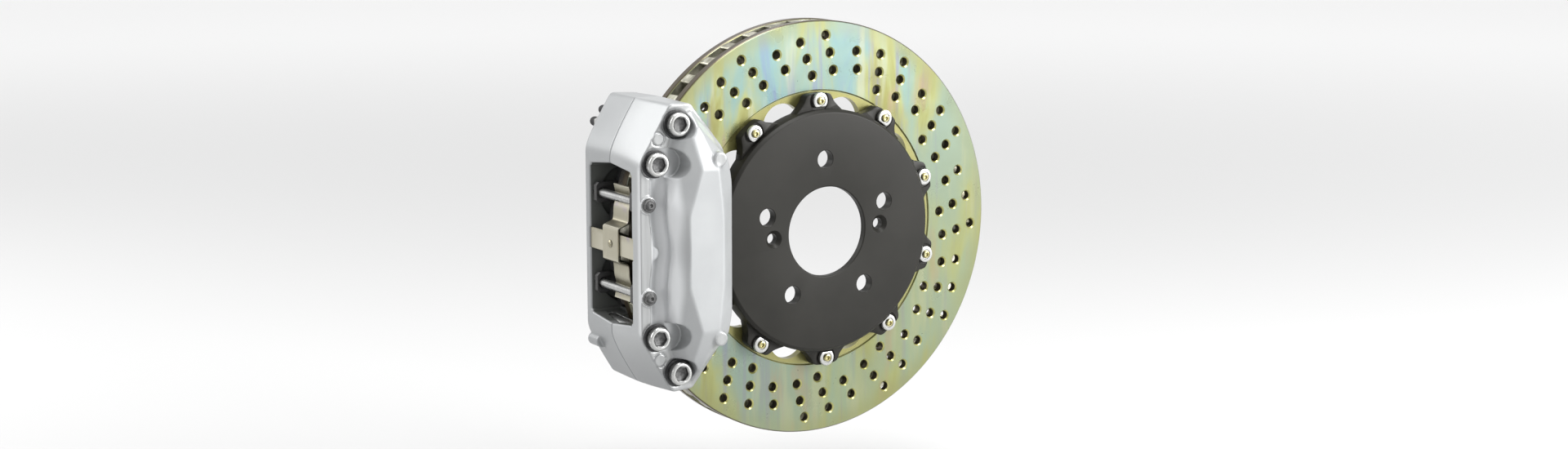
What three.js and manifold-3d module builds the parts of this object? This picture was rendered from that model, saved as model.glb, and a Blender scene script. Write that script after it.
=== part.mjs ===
// Four-piston fixed brake caliper on a two-piece, drilled and vented disc.
// Millimetres, +Z up. The disc turns about the Y axis. The origin is the centre of the
// face of the hat that sits on the wheel hub. The wheel side, outboard, faces -Y, and
// the caliper sits on the -X side of the disc.
import * as THREE from "three";
import { ConvexGeometry } from "three/addons/geometries/ConvexGeometry.js";
import { mergeVertices } from "three/addons/utils/BufferGeometryUtils.js";
import Module from "manifold-3d";

const wasm = await Module();
wasm.setup();

// ---------------------------------------------------------------- driving dimensions
const GAP = 0.3; // room left between pieces that touch
const FAR = 200; // beyond everything, where a cutter may start

// Disc ring
const RING_RADIUS = 164;
const RING_INNER_RADIUS = 109;
const RING_THICKNESS = 28;
const RING_FRONT = 9; // the outboard friction face, measured from the hub face
const RING_BACK = RING_FRONT + RING_THICKNESS;
const RING_MIDDLE = RING_FRONT + RING_THICKNESS / 2;
const PLATE = 7.5; // thickness of each friction plate
const VANE_COUNT = 48;
const VANE_THICKNESS = 3.6;
const VANE_LEAN = -0.33; // sideways run of a vane for each millimetre outwards
const HOLE_RADIUS = 3.5;
const HOLE_SECTORS = 12;
const HOLE_STEP_DEG = 2; // turn from one hole of a row to the next
const HOLE_STEP_RADIUS = -13.5;
const HOLE_ROWS = [
  { angle: 3.65, radius: 152.3, count: 3 },
  { angle: 15.65, radius: 143.2, count: 2 },
  { angle: 24.66, radius: 147.8, count: 3 },
];

// Lugs of the ring, bobbins and rivets
const BOBBIN_COUNT = 10;
const BOBBIN_START_DEG = -1.8;
const BOBBIN_STEP_DEG = 360 / BOBBIN_COUNT;
const BOBBIN_CIRCLE = 102.5;
const BOBBIN_HEAD_RADIUS = 6.5;
const BOBBIN_FLAT = 4.8; // from the bobbin's axis to the flat of its head
const BOBBIN_HEAD = 3;
const BOBBIN_TAIL = 0.6; // how far its shank stands out behind the lug
const BOBBIN_RADIUS = 4.6;
const RIVET_RADIUS = 2.3;
const RIVET_HEAD_RADIUS = 3.1;
const RIVET_HEAD = 1.4;
const RIVET_CROWN = 0.5; // the dome of its broad end
const LUG_FRONT = RING_FRONT + 1;
const LUG_THICKNESS = 6.5;
const LUG_BACK = LUG_FRONT + LUG_THICKNESS;
const LUG_INNER_RADIUS = 96.8;
const SCALLOP_RADIUS = 18;
const SCALLOP_CIRCLE = 88;

// Hat
const HAT_FACE = -8.5;
const HAT_RADIUS = 96;
const HAT_BEVEL = 2.5;
const HAT_RIM_INNER = 88;
const HAT_BORE_RADIUS = 35.4;
const HAT_BORE_RELIEF = 37.5;
const HAT_BORE_LENGTH = 5.5; // the narrow part of the bore, before the relief
const EAR_FRONT = -0.5;
const EAR_BACK = 7.7;
const EAR_RADIUS = 108.2;
const EAR_CORNERS = [[5.3, EAR_RADIUS], [9.5, 101.3], [12, 93]]; // degrees from its middle, radius
const STUD_COUNT = 5;
const STUD_CIRCLE = 57.15;
const STUD_START_DEG = -1.9;
const STUD_HOLE_RADIUS = 7.05;
const SCREW_CIRCLE = 49.4;
const SCREW_ANGLES_DEG = [88, 268];
const SCREW_HOLE_RADIUS = 4.25;
const SCREW_SINK_RADIUS = 7.1;
const SCREW_SINK_DEPTH = 2.85;

// Caliper body. Heights are measured from the caliper's own centre line, and depths from
// the joint face between its halves, in the middle of the disc.
const CALIPER_Z = 2.5;
const BRIDGE_INNER_RADIUS = 166.6;
const SIDE_X = -175;
const HUB_SIDE_X = -99.5;
const DISC_CLEARANCE = 2.5;
const FLANGE_DEPTH = 46; // the face under the bolt washers, outboard
const INNER_FLANGE_DEPTH = 40; // the same level on the inboard half
const RIDGE_DEPTH = 58; // where the body's sides turn over towards the flat
const BODY_DEPTH = 68; // the long flat over the pistons
const BODY_ROOT = 4; // how far the body and its bosses reach down into the flange
const SWEEP_RADIUS = 112; // the turning bobbins pass inside this
const WINDOW_HALF = 58;
const WINDOW_PEAK = 3.5; // how far the middle of its ends is cut beyond the corners
const WINDOW_DEPTH = 31;
const WINDOW_FLOOR_X = -150; // the window is cut from the rim side down to here

// Bridge bolts
const BOLTS = [
  { x: -144.6, z: 94.2 },
  { x: -162.8, z: 65.5 },
  { x: -162.8, z: -65.5 },
  { x: -144.6, z: -94.2 },
];
const BOLT_RADIUS = 6;
const BOLT_HOLE_RADIUS = 6.4;
const BOLT_HEAD_RADIUS = 9;
const BOLT_HEAD = 6;
const BOLT_SOCKET = 5; // half the width across its flats
const BOLT_SOCKET_DEPTH = 4;
const BOLT_END_DEPTH = 27;
const WASHER_RADIUS = 10.6;
const WASHER = 2;
const SEAT_RADIUS = 11.4;
const POCKET_SHIFT = 11; // the seats of the two inner bolts are this much longer
const POCKET_RADIUS = SEAT_RADIUS - 0.5;

// Raised places of the castings
const CORNER_BOSS = { x: -118, z: 68, radius: 5.5 };
const EDGE_BOSS = { x: -169, z: -81, radius: 5, length: 15.5, proud: 1.5 };
const PLUG_BOSS = { radius: 4.9, proud: 0.5 };
const PIN_BOSS = { radius: 6.5, proud: 1 };

// Fluid ports
const CROSSOVER = { x: -159, z: 83.5, radius: 2, depth: 30 };
const CROSSOVER_GROOVE = { radius: 5, depth: 2 };
const BLEED_PORTS = [
  { name: "inner", x: -160, z: 86.5 },
  { name: "outer", x: -152.5, z: 95 },
];
const BLEED_PORT_RADIUS = 3.6;
const BLEED_PORT_DEPTH = 29.5;
const BLEED_HEX_RADIUS = 5.2;
const BLEED_HEX = 4;
const NIPPLE_RADIUS = 2.6;
const NIPPLE = 12; // from the casting's face to the nipple's tip
const CAP_RADIUS = 4.3;
const CAP_WALL_RADIUS = 3.7;
const CAP = 10;
const CAP_HOLLOW = 8.2;
const INLET = { x: -150, z: -84, radius: 5, boss: 9 };
const INLET_FACE_DEPTH = 58;
const INLET_HOLE_DEPTH = 42;
const INLET_HEX_RADIUS = 8;
const INLET_HEX = 5;

// Mounting lugs on the inboard half, for bolts along X
const LUG_Z = 65;
const LUG_DEPTH = 52;
const LUG_RADIUS = 13;
const LUG_HOLE_RADIUS = 6.25;
const LUG_END_X = -140;

// Pistons
const PISTON_X = -133.5;
const PISTON_Z = 27;
const PISTON_RADIUS = 18;
const BORE_RADIUS = 18.1;
const BORE_MOUTH_DEPTH = 33;
const BORE_END_DEPTH = 57;
const PISTON_WALL = 4;
const PISTON_LENGTH = 23;
const PISTON_CROWN = 5;
const SEAL_DEPTH = 37;
const SEAL_WIDTH = 3.6;
const SEAL_OUTER_RADIUS = 20.6;
const BOOT_OUTER_RADIUS = 21.4;
const BOOT_WIDTH = 3;

// Pads
const PAD_HALF = 55;
const PAD_INNER_RADIUS = 113;
const PAD_OUTER_RADIUS = 161;
const PAD_GAP = 0.5; // from the lining to the disc with the brake off
const LINING = 11;
const BACK_PLATE = 5;
const LINING_SLOT_HALF = 1;
const LINING_LEFT = 3; // thickness left under the lining's middle slot
const PAD_TAB_HALF = 8;
const PAD_TAB_X = -173;
const PIN_X = -168;
const PIN_Z = 35;
const PIN_RADIUS = 3.4;
const PIN_HOLE_RADIUS = 3.8;
const PIN_COLLAR_RADIUS = 5.3;
const PIN_COLLAR_TOP = FLANGE_DEPTH + 3;
const PIN_COLLAR_FOOT = FLANGE_DEPTH + PIN_BOSS.proud + GAP;
const PIN_OUT_DEPTH = 51;
const PIN_IN_DEPTH = 36;

// Cross strap and spring clip in the window
const STRAP_X = -172.5; // its face towards the disc
const STRAP = 1.5;
const STRAP_HALF_WIDTH = 8;
const STRAP_HALF_LENGTH = 34;
const CLIP = 1.2;
const CLIP_HALF_LENGTH = 12;
const CLIP_RIVET_RADIUS = 2;
const CLIP_RIVET_HEAD_RADIUS = 3.2;
const CLIP_RIVET_HEAD = 1.2;
// Bends of its upper arm as [X, height]: X from under the pin, then X from its arched top.
const CLIP_LOW_BENDS = [[-1.5, 44], [0, 37], [0, 32], [-1.6, 26], [-2, 19], [-3.4, 15.6]];
const CLIP_HIGH_BENDS = [[2.6, 13.6], [0.6, 12.4], [0, 10]];

// Sides of the polygons that stand for circles
const DISC_SIDES = 72;
const BODY_SIDES = 48;
const ROUND_SIDES = 24;
const BORE_SIDES = 16;
const BOSS_SIDES = 12;
const PIN_SIDES = 10;
const NIPPLE_SIDES = 8;
const HEX_SIDES = 6;

// ---------------------------------------------------------------- solids and outlines
const radians = (degrees) => (degrees * Math.PI) / 180;

// A point on a circle round the Y axis. Angles turn from +Z towards +X.
function aroundAxis(radius, degrees) {
  return { x: radius * Math.sin(radians(degrees)), z: radius * Math.cos(radians(degrees)) };
}

function toSolid(geometry) {
  const plain = geometry.clone();
  for (const name of Object.keys(plain.attributes)) {
    if (name !== "position") {
      plain.deleteAttribute(name);
    }
  }
  const merged = mergeVertices(plain, 1e-4);
  const vertProperties = new Float32Array(merged.attributes.position.array);
  const triVerts = new Uint32Array(merged.index.array);
  return new wasm.Manifold(new wasm.Mesh({ numProp: 3, vertProperties, triVerts }));
}

function toGeometry(solid) {
  const cut = solid.getMesh();
  const geometry = new THREE.BufferGeometry();
  geometry.setAttribute("position", new THREE.BufferAttribute(cut.vertProperties, 3));
  geometry.setIndex(new THREE.BufferAttribute(cut.triVerts, 1));
  geometry.computeVertexNormals();
  return geometry;
}

// A straight prism along Y of an outline in the XZ plane.
function prism(points, fromY, toY) {
  const outline = new THREE.Shape(points.map(([x, z]) => new THREE.Vector2(x, z)));
  const geometry = new THREE.ExtrudeGeometry(outline, { depth: toY - fromY, bevelEnabled: false });
  geometry.rotateX(Math.PI / 2);
  geometry.translate(0, toY, 0);
  return toSolid(geometry);
}

// A round solid about a line parallel to Y. The profile's points are [radius, y].
function turned(profile, segments, x = 0, z = 0) {
  const points = profile.map(([radius, y]) => new THREE.Vector2(radius, y));
  const geometry = new THREE.LatheGeometry(points, segments);
  geometry.translate(x, 0, z);
  return toSolid(geometry);
}

function rod(radius, fromY, toY, x = 0, z = 0, segments = ROUND_SIDES) {
  return turned([[0, fromY], [radius, fromY], [radius, toY], [0, toY]], segments, x, z);
}

function tube(outer, inner, fromY, toY, x = 0, z = 0, segments = ROUND_SIDES) {
  const profile = [[inner, fromY], [outer, fromY], [outer, toY], [inner, toY], [inner, fromY]];
  return turned(profile, segments, x, z);
}

// A rod along X, for the mounting holes and their lugs.
function crossRod(radius, fromX, toX, y, z, segments = ROUND_SIDES) {
  const geometry = new THREE.CylinderGeometry(radius, radius, toX - fromX, segments);
  geometry.rotateZ(Math.PI / 2);
  geometry.translate((fromX + toX) / 2, y, z);
  return toSolid(geometry);
}

function box(low, high) {
  const size = high.map((value, axis) => value - low[axis]);
  const geometry = new THREE.BoxGeometry(...size);
  geometry.translate(low[0] + size[0] / 2, low[1] + size[1] / 2, low[2] + size[2] / 2);
  return toSolid(geometry);
}

function hull(points) {
  return toSolid(new ConvexGeometry(points.map((point) => new THREE.Vector3(...point))));
}

function subtractAll(solid, cutters) {
  return cutters.reduce((rest, cutter) => rest.subtract(cutter), solid);
}

function addAll(solids) {
  return solids.reduce((whole, piece) => whole.add(piece));
}

const PAINT = {
  zinc: { color: 0xc3cfae, roughness: 0.28, metalness: 0.9 },
  black: { color: 0x2a2a29, roughness: 0.45, metalness: 0.5 },
  steel: { color: 0xb9bab6, roughness: 0.35, metalness: 0.9 },
  gold: { color: 0xc9b36a, roughness: 0.35, metalness: 0.9 },
  silver: { color: 0xc4c8ca, roughness: 0.4, metalness: 0.4 },
  darkSteel: { color: 0x6d7174, roughness: 0.4, metalness: 0.8 },
  rubber: { color: 0x1b1b1c, roughness: 0.8, metalness: 0 },
  champagne: { color: 0xb3a68a, roughness: 0.4, metalness: 0.8 },
  plateBlack: { color: 0x202021, roughness: 0.6, metalness: 0.3 },
  lining: { color: 0x3b3936, roughness: 0.9, metalness: 0.1 },
};

const model = new THREE.Group();

function addPiece(name, solid, paint) {
  const material = new THREE.MeshStandardMaterial(paint);
  const mesh = new THREE.Mesh(toGeometry(solid), material);
  mesh.name = name;
  model.add(mesh);
}

// ---------------------------------------------------------------- disc ring
function vane(index) {
  const half = VANE_THICKNESS / 2;
  const inner = RING_INNER_RADIUS + 1.5;
  const outer = RING_RADIUS - 1;
  const run = (outer - inner) * VANE_LEAN;
  const outline = [
    [-half - run / 2, inner],
    [half - run / 2, inner],
    [half + run / 2, outer],
    [-half + run / 2, outer],
  ];
  const turn = -radians((index * 360) / VANE_COUNT);
  const corners = outline.map(([x, z]) => [
    x * Math.cos(turn) - z * Math.sin(turn),
    x * Math.sin(turn) + z * Math.cos(turn),
  ]);
  const overlap = 0.5;
  return prism(corners, RING_FRONT + PLATE - overlap, RING_BACK - PLATE + overlap);
}

function drilledHoles() {
  const holes = [];
  for (let sector = 0; sector < HOLE_SECTORS; sector += 1) {
    for (const row of HOLE_ROWS) {
      for (let step = 0; step < row.count; step += 1) {
        const degrees = row.angle + step * HOLE_STEP_DEG + (sector * 360) / HOLE_SECTORS;
        const { x, z } = aroundAxis(row.radius + step * HOLE_STEP_RADIUS, degrees);
        holes.push(rod(HOLE_RADIUS, RING_FRONT - 1, RING_BACK + 1, x, z, HEX_SIDES));
      }
    }
  }
  return holes;
}

function scallops() {
  const cuts = [];
  for (let index = 0; index < BOBBIN_COUNT; index += 1) {
    const degrees = BOBBIN_START_DEG + (index + 0.5) * BOBBIN_STEP_DEG;
    const { x, z } = aroundAxis(SCALLOP_CIRCLE, degrees);
    cuts.push(rod(SCALLOP_RADIUS, LUG_FRONT - 1, LUG_BACK + 1, x, z, BORE_SIDES));
  }
  return cuts;
}

function bobbinPlaces() {
  const places = [];
  for (let index = 0; index < BOBBIN_COUNT; index += 1) {
    const degrees = BOBBIN_START_DEG + index * BOBBIN_STEP_DEG;
    places.push({ ...aroundAxis(BOBBIN_CIRCLE, degrees), degrees, number: index + 1 });
  }
  return places;
}

function discRing() {
  const frontPlate = tube(RING_RADIUS, RING_INNER_RADIUS, RING_FRONT, RING_FRONT + PLATE, 0, 0, DISC_SIDES);
  const backPlate = tube(RING_RADIUS, RING_INNER_RADIUS, RING_BACK - PLATE, RING_BACK, 0, 0, DISC_SIDES);
  const flange = tube(RING_INNER_RADIUS + 1, LUG_INNER_RADIUS, LUG_FRONT, LUG_BACK, 0, 0, DISC_SIDES);
  const lugs = subtractAll(flange, [
    ...scallops(),
    ...bobbinPlaces().map(({ x, z }) =>
      rod(BOBBIN_RADIUS + 0.2, LUG_FRONT - 1, LUG_BACK + 1, x, z, PIN_SIDES)),
  ]);
  const vanes = Array.from({ length: VANE_COUNT }, (_, index) => vane(index));
  const cast = addAll([frontPlate, backPlate, lugs, ...vanes]);
  return subtractAll(cast, drilledHoles());
}

addPiece("disc_ring", discRing(), PAINT.zinc);

// ---------------------------------------------------------------- hat
function ear(degrees) {
  const left = EAR_CORNERS.map(([offset, radius]) => [-offset, radius]).reverse();
  const corners = [...left, ...EAR_CORNERS];
  const points = corners.map(([offset, radius]) => {
    const { x, z } = aroundAxis(radius, degrees + offset);
    return [x, z];
  });
  return prism(points.reverse(), EAR_FRONT, EAR_BACK);
}

function discHat() {
  const profile = [
    [HAT_BORE_RADIUS, HAT_FACE],
    [HAT_RADIUS - HAT_BEVEL, HAT_FACE],
    [HAT_RADIUS, HAT_FACE + HAT_BEVEL],
    [HAT_RADIUS, EAR_BACK],
    [HAT_RIM_INNER, EAR_BACK],
    [HAT_RIM_INNER - 2, 0],
    [HAT_BORE_RELIEF, 0],
    [HAT_BORE_RELIEF, HAT_FACE + HAT_BORE_LENGTH],
    [HAT_BORE_RADIUS, HAT_FACE + HAT_BORE_LENGTH],
    [HAT_BORE_RADIUS, HAT_FACE],
  ];
  const bell = addAll([turned(profile, BODY_SIDES), ...bobbinPlaces().map(({ degrees }) => ear(degrees))]);
  const cuts = bobbinPlaces().map(({ x, z }) => {
    return rod(BOBBIN_RADIUS + 0.2, EAR_FRONT - 1, EAR_BACK + 1, x, z, PIN_SIDES);
  });
  for (let index = 0; index < STUD_COUNT; index += 1) {
    const { x, z } = aroundAxis(STUD_CIRCLE, STUD_START_DEG + (index * 360) / STUD_COUNT);
    cuts.push(rod(STUD_HOLE_RADIUS, HAT_FACE - 1, 1, x, z, BORE_SIDES));
  }
  for (const degrees of SCREW_ANGLES_DEG) {
    const { x, z } = aroundAxis(SCREW_CIRCLE, degrees);
    const flare = SCREW_SINK_RADIUS - SCREW_HOLE_RADIUS;
    const sink = [
      [0, HAT_FACE - 1],
      [SCREW_SINK_RADIUS + flare / SCREW_SINK_DEPTH, HAT_FACE - 1],
      [SCREW_HOLE_RADIUS, HAT_FACE + SCREW_SINK_DEPTH],
      [SCREW_HOLE_RADIUS, 1],
      [0, 1],
    ];
    cuts.push(turned(sink, BOSS_SIDES, x, z));
  }
  return subtractAll(bell, cuts);
}

addPiece("disc_hat", discHat(), PAINT.black);

// ---------------------------------------------------------------- bobbins and rivets
const BOBBIN_TOP = EAR_FRONT - GAP - BOBBIN_HEAD;

function bobbin({ x, z, degrees }) {
  const head = rod(BOBBIN_HEAD_RADIUS, BOBBIN_TOP, EAR_FRONT - GAP, x, z, 14);
  const shank = rod(BOBBIN_RADIUS, EAR_FRONT - GAP - 1, LUG_BACK + BOBBIN_TAIL, x, z, PIN_SIDES);
  const hole = rod(RIVET_RADIUS + 0.4, BOBBIN_TOP - 1, LUG_BACK + 2, x, z, NIPPLE_SIDES);
  const side = 2 * BOBBIN_HEAD_RADIUS;
  const inner = BOBBIN_CIRCLE - BOBBIN_FLAT;
  const corners = [[-side, inner - side], [side, inner - side], [side, inner], [-side, inner]];
  const turn = -radians(degrees);
  const flatCut = prism(
    corners.map(([across, out]) => [
      across * Math.cos(turn) - out * Math.sin(turn),
      across * Math.sin(turn) + out * Math.cos(turn),
    ]),
    BOBBIN_TOP - 1,
    EAR_FRONT,
  );
  return head.subtract(flatCut).add(shank).subtract(hole);
}

function bobbinRivet({ x, z }) {
  const seat = LUG_BACK + BOBBIN_TAIL + GAP;
  const end = seat + RIVET_HEAD;
  const profile = [
    [0, BOBBIN_TOP - RIVET_HEAD],
    [RIVET_HEAD_RADIUS - 1, BOBBIN_TOP - RIVET_HEAD],
    [RIVET_HEAD_RADIUS, BOBBIN_TOP - GAP],
    [RIVET_RADIUS, BOBBIN_TOP - GAP],
    [RIVET_RADIUS, seat],
    [BOBBIN_HEAD_RADIUS, seat],
    [BOBBIN_HEAD_RADIUS, end],
    [0, end + RIVET_CROWN],
  ];
  return turned(profile, 7, x, z);
}

for (const place of bobbinPlaces()) {
  addPiece(`drive_bobbin_${place.number}`, bobbin(place), PAINT.steel);
  addPiece(`bobbin_rivet_${place.number}`, bobbinRivet(place), PAINT.gold);
}

// ---------------------------------------------------------------- caliper halves
// side is -1 for the outboard half and +1 for the inboard half.
const atDepth = (side, depth) => RING_MIDDLE + side * depth;

function span(side, fromDepth, toDepth) {
  const ends = [atDepth(side, fromDepth), atDepth(side, toDepth)];
  return [Math.min(...ends), Math.max(...ends)];
}

// A rod of the caliper between two depths, placed from the caliper's centre line.
function caliperRod(side, radius, fromDepth, toDepth, { x, z }, segments = ROUND_SIDES) {
  const [low, high] = span(side, fromDepth, toDepth);
  return rod(radius, low, high, x, z + CALIPER_Z, segments);
}

const bothEnds = ({ x, z }) => [{ x, z }, { x, z: -z }];

function mirrored(upper) {
  const lower = [...upper].reverse().map(([x, z]) => [x, -z]);
  return [...upper, ...lower].map(([x, z]) => [x, z + CALIPER_Z]);
}

// The curve of the bridge over the rim, then the outline down to the hub side.
const BRIDGE_CURVE = [[SIDE_X, 60], [-169, 78], [-161, 93.5], [-152, 105.5], [-142.5, 109.5]];
const BRIDGE = [...BRIDGE_CURVE, [-118, 108]];
const HOUSING = [...BRIDGE_CURVE, [-131, 108], [-104, 74], [HUB_SIDE_X, 58]];

function bridgeArms(side) {
  const [low, high] = span(side, 0, RING_THICKNESS / 2 + DISC_CLEARANCE);
  const block = prism(mirrored(BRIDGE), low, high);
  return block.subtract(rod(BRIDGE_INNER_RADIUS, low - 1, high + 1, 0, 0, DISC_SIDES));
}

function sweepCut(side, depth) {
  const [low, high] = span(side, 0, depth);
  return rod(SWEEP_RADIUS, low, high, 0, 0, BODY_SIDES);
}

// The faceted body over the pistons, from the flange up to the long six-sided flat.
function bodyFacets(side, rootDepth) {
  const flat = [[-134, 62], [-119.5, 61.5], [-115.5, 25], [-144.5, 29], [-146.5, 0]];
  const ridge = [[-151, 50], [-154.5, 38], [-154.5, 10], [-139, 90], [-131, 92], [-106, 66], [-103, 50]];
  const root = [[-158, 50], [-158.5, 10], [-147, 99], [-131, 107], [-104, 74], [HUB_SIDE_X, 58]];
  const levels = [[flat, BODY_DEPTH], [ridge, RIDGE_DEPTH], [root, rootDepth]];
  const points = levels.flatMap(([outline, depth]) =>
    outline.flatMap(([x, z]) => [1, -1].map((sign) => [x, atDepth(side, depth), sign * z + CALIPER_Z])));
  return hull(points);
}

// Room for the pads, open to the window and to the hub side.
function padCut(side) {
  const [low, high] = span(side, 0, BORE_MOUTH_DEPTH);
  const half = PAD_HALF + 1;
  return box([-FAR, low, CALIPER_Z - half], [0, high, CALIPER_Z + half]);
}

// The window's opening towards the rim: with the other half's it has six sides.
function windowCut(side) {
  const corners = [
    [atDepth(side, 0), WINDOW_HALF + WINDOW_PEAK],
    [atDepth(side, WINDOW_DEPTH), WINDOW_HALF],
    [atDepth(side, WINDOW_DEPTH), -WINDOW_HALF],
    [atDepth(side, 0), -WINDOW_HALF - WINDOW_PEAK],
  ];
  return hull(corners.flatMap(([y, z]) => [[-FAR, y, z + CALIPER_Z], [WINDOW_FLOOR_X, y, z + CALIPER_Z]]));
}

// The notch in the window's edge that takes an end of the cross strap.
function strapNotch(side) {
  const [low, high] = span(side, WINDOW_DEPTH - 1, STRAP_HALF_LENGTH + GAP);
  const half = STRAP_HALF_WIDTH + GAP;
  return box([-FAR, low, CALIPER_Z - half], [STRAP_X + GAP, high, CALIPER_Z + half]);
}

function pistonBores(side) {
  const steps = [
    [BORE_RADIUS, BORE_MOUTH_DEPTH - 2, BORE_END_DEPTH],
    [SEAL_OUTER_RADIUS + 0.2, SEAL_DEPTH, SEAL_DEPTH + SEAL_WIDTH],
    [BOOT_OUTER_RADIUS + 0.2, BORE_MOUTH_DEPTH - 1, BORE_MOUTH_DEPTH + BOOT_WIDTH],
  ];
  return bothEnds({ x: PISTON_X, z: PISTON_Z }).flatMap((place) =>
    steps.map(([radius, from, to]) => caliperRod(side, radius, from, to, place, BORE_SIDES)));
}

const boltHoles = (side, depth) =>
  BOLTS.map((place) => caliperRod(side, BOLT_HOLE_RADIUS, -1, depth, place, BOSS_SIDES));

const pinHoles = (side, depth) =>
  bothEnds({ x: PIN_X, z: PIN_Z }).map((place) =>
    caliperRod(side, PIN_HOLE_RADIUS, -1, depth, place, PIN_SIDES));

const crossovers = (side) =>
  bothEnds(CROSSOVER).map((place) =>
    caliperRod(side, CROSSOVER.radius, -1, CROSSOVER.depth, place, HEX_SIDES));

// Clear room above each washer. The two inner seats run on into the body as pockets.
function boltSeats() {
  const seats = BOLTS.map((place) => caliperRod(-1, SEAT_RADIUS, FLANGE_DEPTH, BODY_DEPTH + 2, place, 18));
  const pockets = BOLTS.slice(1, 3).map(({ x, z }) =>
    caliperRod(-1, POCKET_RADIUS, FLANGE_DEPTH, BODY_DEPTH + 2, { x: x + POCKET_SHIFT, z }, 18));
  return [...seats, ...pockets];
}

function outboardHalf() {
  const side = -1;
  const [low, high] = span(side, RING_THICKNESS / 2 + DISC_CLEARANCE - 0.5, FLANGE_DEPTH);
  const housing = prism(mirrored(HOUSING), low, high);
  const root = FLANGE_DEPTH - BODY_ROOT;
  const raised = (radius, fromDepth, toDepth, place) =>
    bothEnds(place).map((end) => caliperRod(side, radius, fromDepth, toDepth, end, BOSS_SIDES));
  const cornerBosses = raised(CORNER_BOSS.radius, root, BODY_DEPTH - 0.5, CORNER_BOSS);
  const portPlugs = raised(PLUG_BOSS.radius, root, FLANGE_DEPTH + PLUG_BOSS.proud, CROSSOVER);
  const pinBosses = raised(PIN_BOSS.radius, root, FLANGE_DEPTH + PIN_BOSS.proud, { x: PIN_X, z: PIN_Z });
  const body = addAll([housing, bridgeArms(side), bodyFacets(side, root), ...cornerBosses]);
  const seated = subtractAll(body, boltSeats());
  return subtractAll(addAll([seated, ...portPlugs, ...pinBosses]), [
    sweepCut(side, 36),
    padCut(side),
    windowCut(side),
    strapNotch(side),
    ...pistonBores(side),
    ...boltHoles(side, FLANGE_DEPTH + 1),
    ...pinHoles(side, FLANGE_DEPTH + 2),
    ...crossovers(side),
    ...bothEnds(CROSSOVER).map((place) =>
      caliperRod(side, CROSSOVER_GROOVE.radius, -1, CROSSOVER_GROOVE.depth, place, BOSS_SIDES)),
  ]);
}

function mountingLug(z) {
  const y = atDepth(1, LUG_DEPTH);
  return crossRod(LUG_RADIUS, LUG_END_X, HUB_SIDE_X, y, z + CALIPER_Z, BORE_SIDES);
}

function mountingHole(z) {
  const y = atDepth(1, LUG_DEPTH);
  return crossRod(LUG_HOLE_RADIUS, SIDE_X, HUB_SIDE_X + 1, y, z + CALIPER_Z, BOSS_SIDES);
}

function inboardHalf() {
  const side = 1;
  const [low, high] = span(side, RING_THICKNESS / 2 + DISC_CLEARANCE - 0.5, INNER_FLANGE_DEPTH);
  const housing = prism(mirrored(HOUSING), low, high);
  const inletBoss = caliperRod(side, INLET.boss, INNER_FLANGE_DEPTH - 2, INLET_FACE_DEPTH, INLET, BORE_SIDES);
  const edgeTop = INNER_FLANGE_DEPTH + EDGE_BOSS.proud;
  const edgeFoot = edgeTop - EDGE_BOSS.length;
  const edgeBoss = caliperRod(side, EDGE_BOSS.radius, edgeFoot, edgeTop, EDGE_BOSS, BOSS_SIDES);
  const body = addAll([
    housing,
    bridgeArms(side),
    bodyFacets(side, INNER_FLANGE_DEPTH - BODY_ROOT),
    mountingLug(LUG_Z),
    mountingLug(-LUG_Z),
    inletBoss,
    edgeBoss,
  ]);
  return subtractAll(body, [
    sweepCut(side, RING_THICKNESS / 2 + 4),
    padCut(side),
    windowCut(side),
    strapNotch(side),
    ...pistonBores(side),
    ...boltHoles(side, BOLT_END_DEPTH + 1),
    ...pinHoles(side, PIN_IN_DEPTH + 1),
    ...crossovers(side),
    ...BLEED_PORTS.map((place) =>
      caliperRod(side, BLEED_PORT_RADIUS, BLEED_PORT_DEPTH, BODY_DEPTH, place, PIN_SIDES)),
    caliperRod(side, INLET.radius + 0.2, INLET_HOLE_DEPTH, INLET_FACE_DEPTH + 1, INLET, BOSS_SIDES),
    mountingHole(LUG_Z),
    mountingHole(-LUG_Z),
  ]);
}

addPiece("caliper_outboard_half", outboardHalf(), PAINT.silver);
addPiece("caliper_inboard_half", inboardHalf(), PAINT.silver);

// ---------------------------------------------------------------- bridge bolts
function bridgeBolt(place) {
  const under = FLANGE_DEPTH + GAP + WASHER + GAP;
  const top = under + BOLT_HEAD;
  const shank = caliperRod(-1, BOLT_RADIUS, -BOLT_END_DEPTH, under + 1, place, BOSS_SIDES);
  const head = caliperRod(-1, BOLT_HEAD_RADIUS, under, top, place, 18);
  const corner = BOLT_SOCKET / Math.cos(Math.PI / 6);
  const socket = caliperRod(-1, corner, top - BOLT_SOCKET_DEPTH, top + 1, place, HEX_SIDES);
  return head.add(shank).subtract(socket);
}

function boltWasher({ x, z }) {
  const [low, high] = span(-1, FLANGE_DEPTH + GAP, FLANGE_DEPTH + GAP + WASHER);
  return tube(WASHER_RADIUS, BOLT_HOLE_RADIUS, low, high, x, z + CALIPER_Z, BORE_SIDES);
}

function crossoverSeal({ x, z }) {
  const { radius, depth } = CROSSOVER_GROOVE;
  const [low, high] = span(-1, GAP, depth - GAP);
  return tube(radius - GAP, radius - 2.2, low, high, x, z + CALIPER_Z, BOSS_SIDES);
}

BOLTS.forEach((place, index) => {
  addPiece(`bridge_bolt_${index + 1}`, bridgeBolt(place), PAINT.steel);
  addPiece(`bolt_washer_${index + 1}`, boltWasher(place), PAINT.rubber);
});

bothEnds(CROSSOVER).forEach((place, index) => {
  addPiece(`crossover_seal_${index + 1}`, crossoverSeal(place), PAINT.rubber);
});

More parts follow.
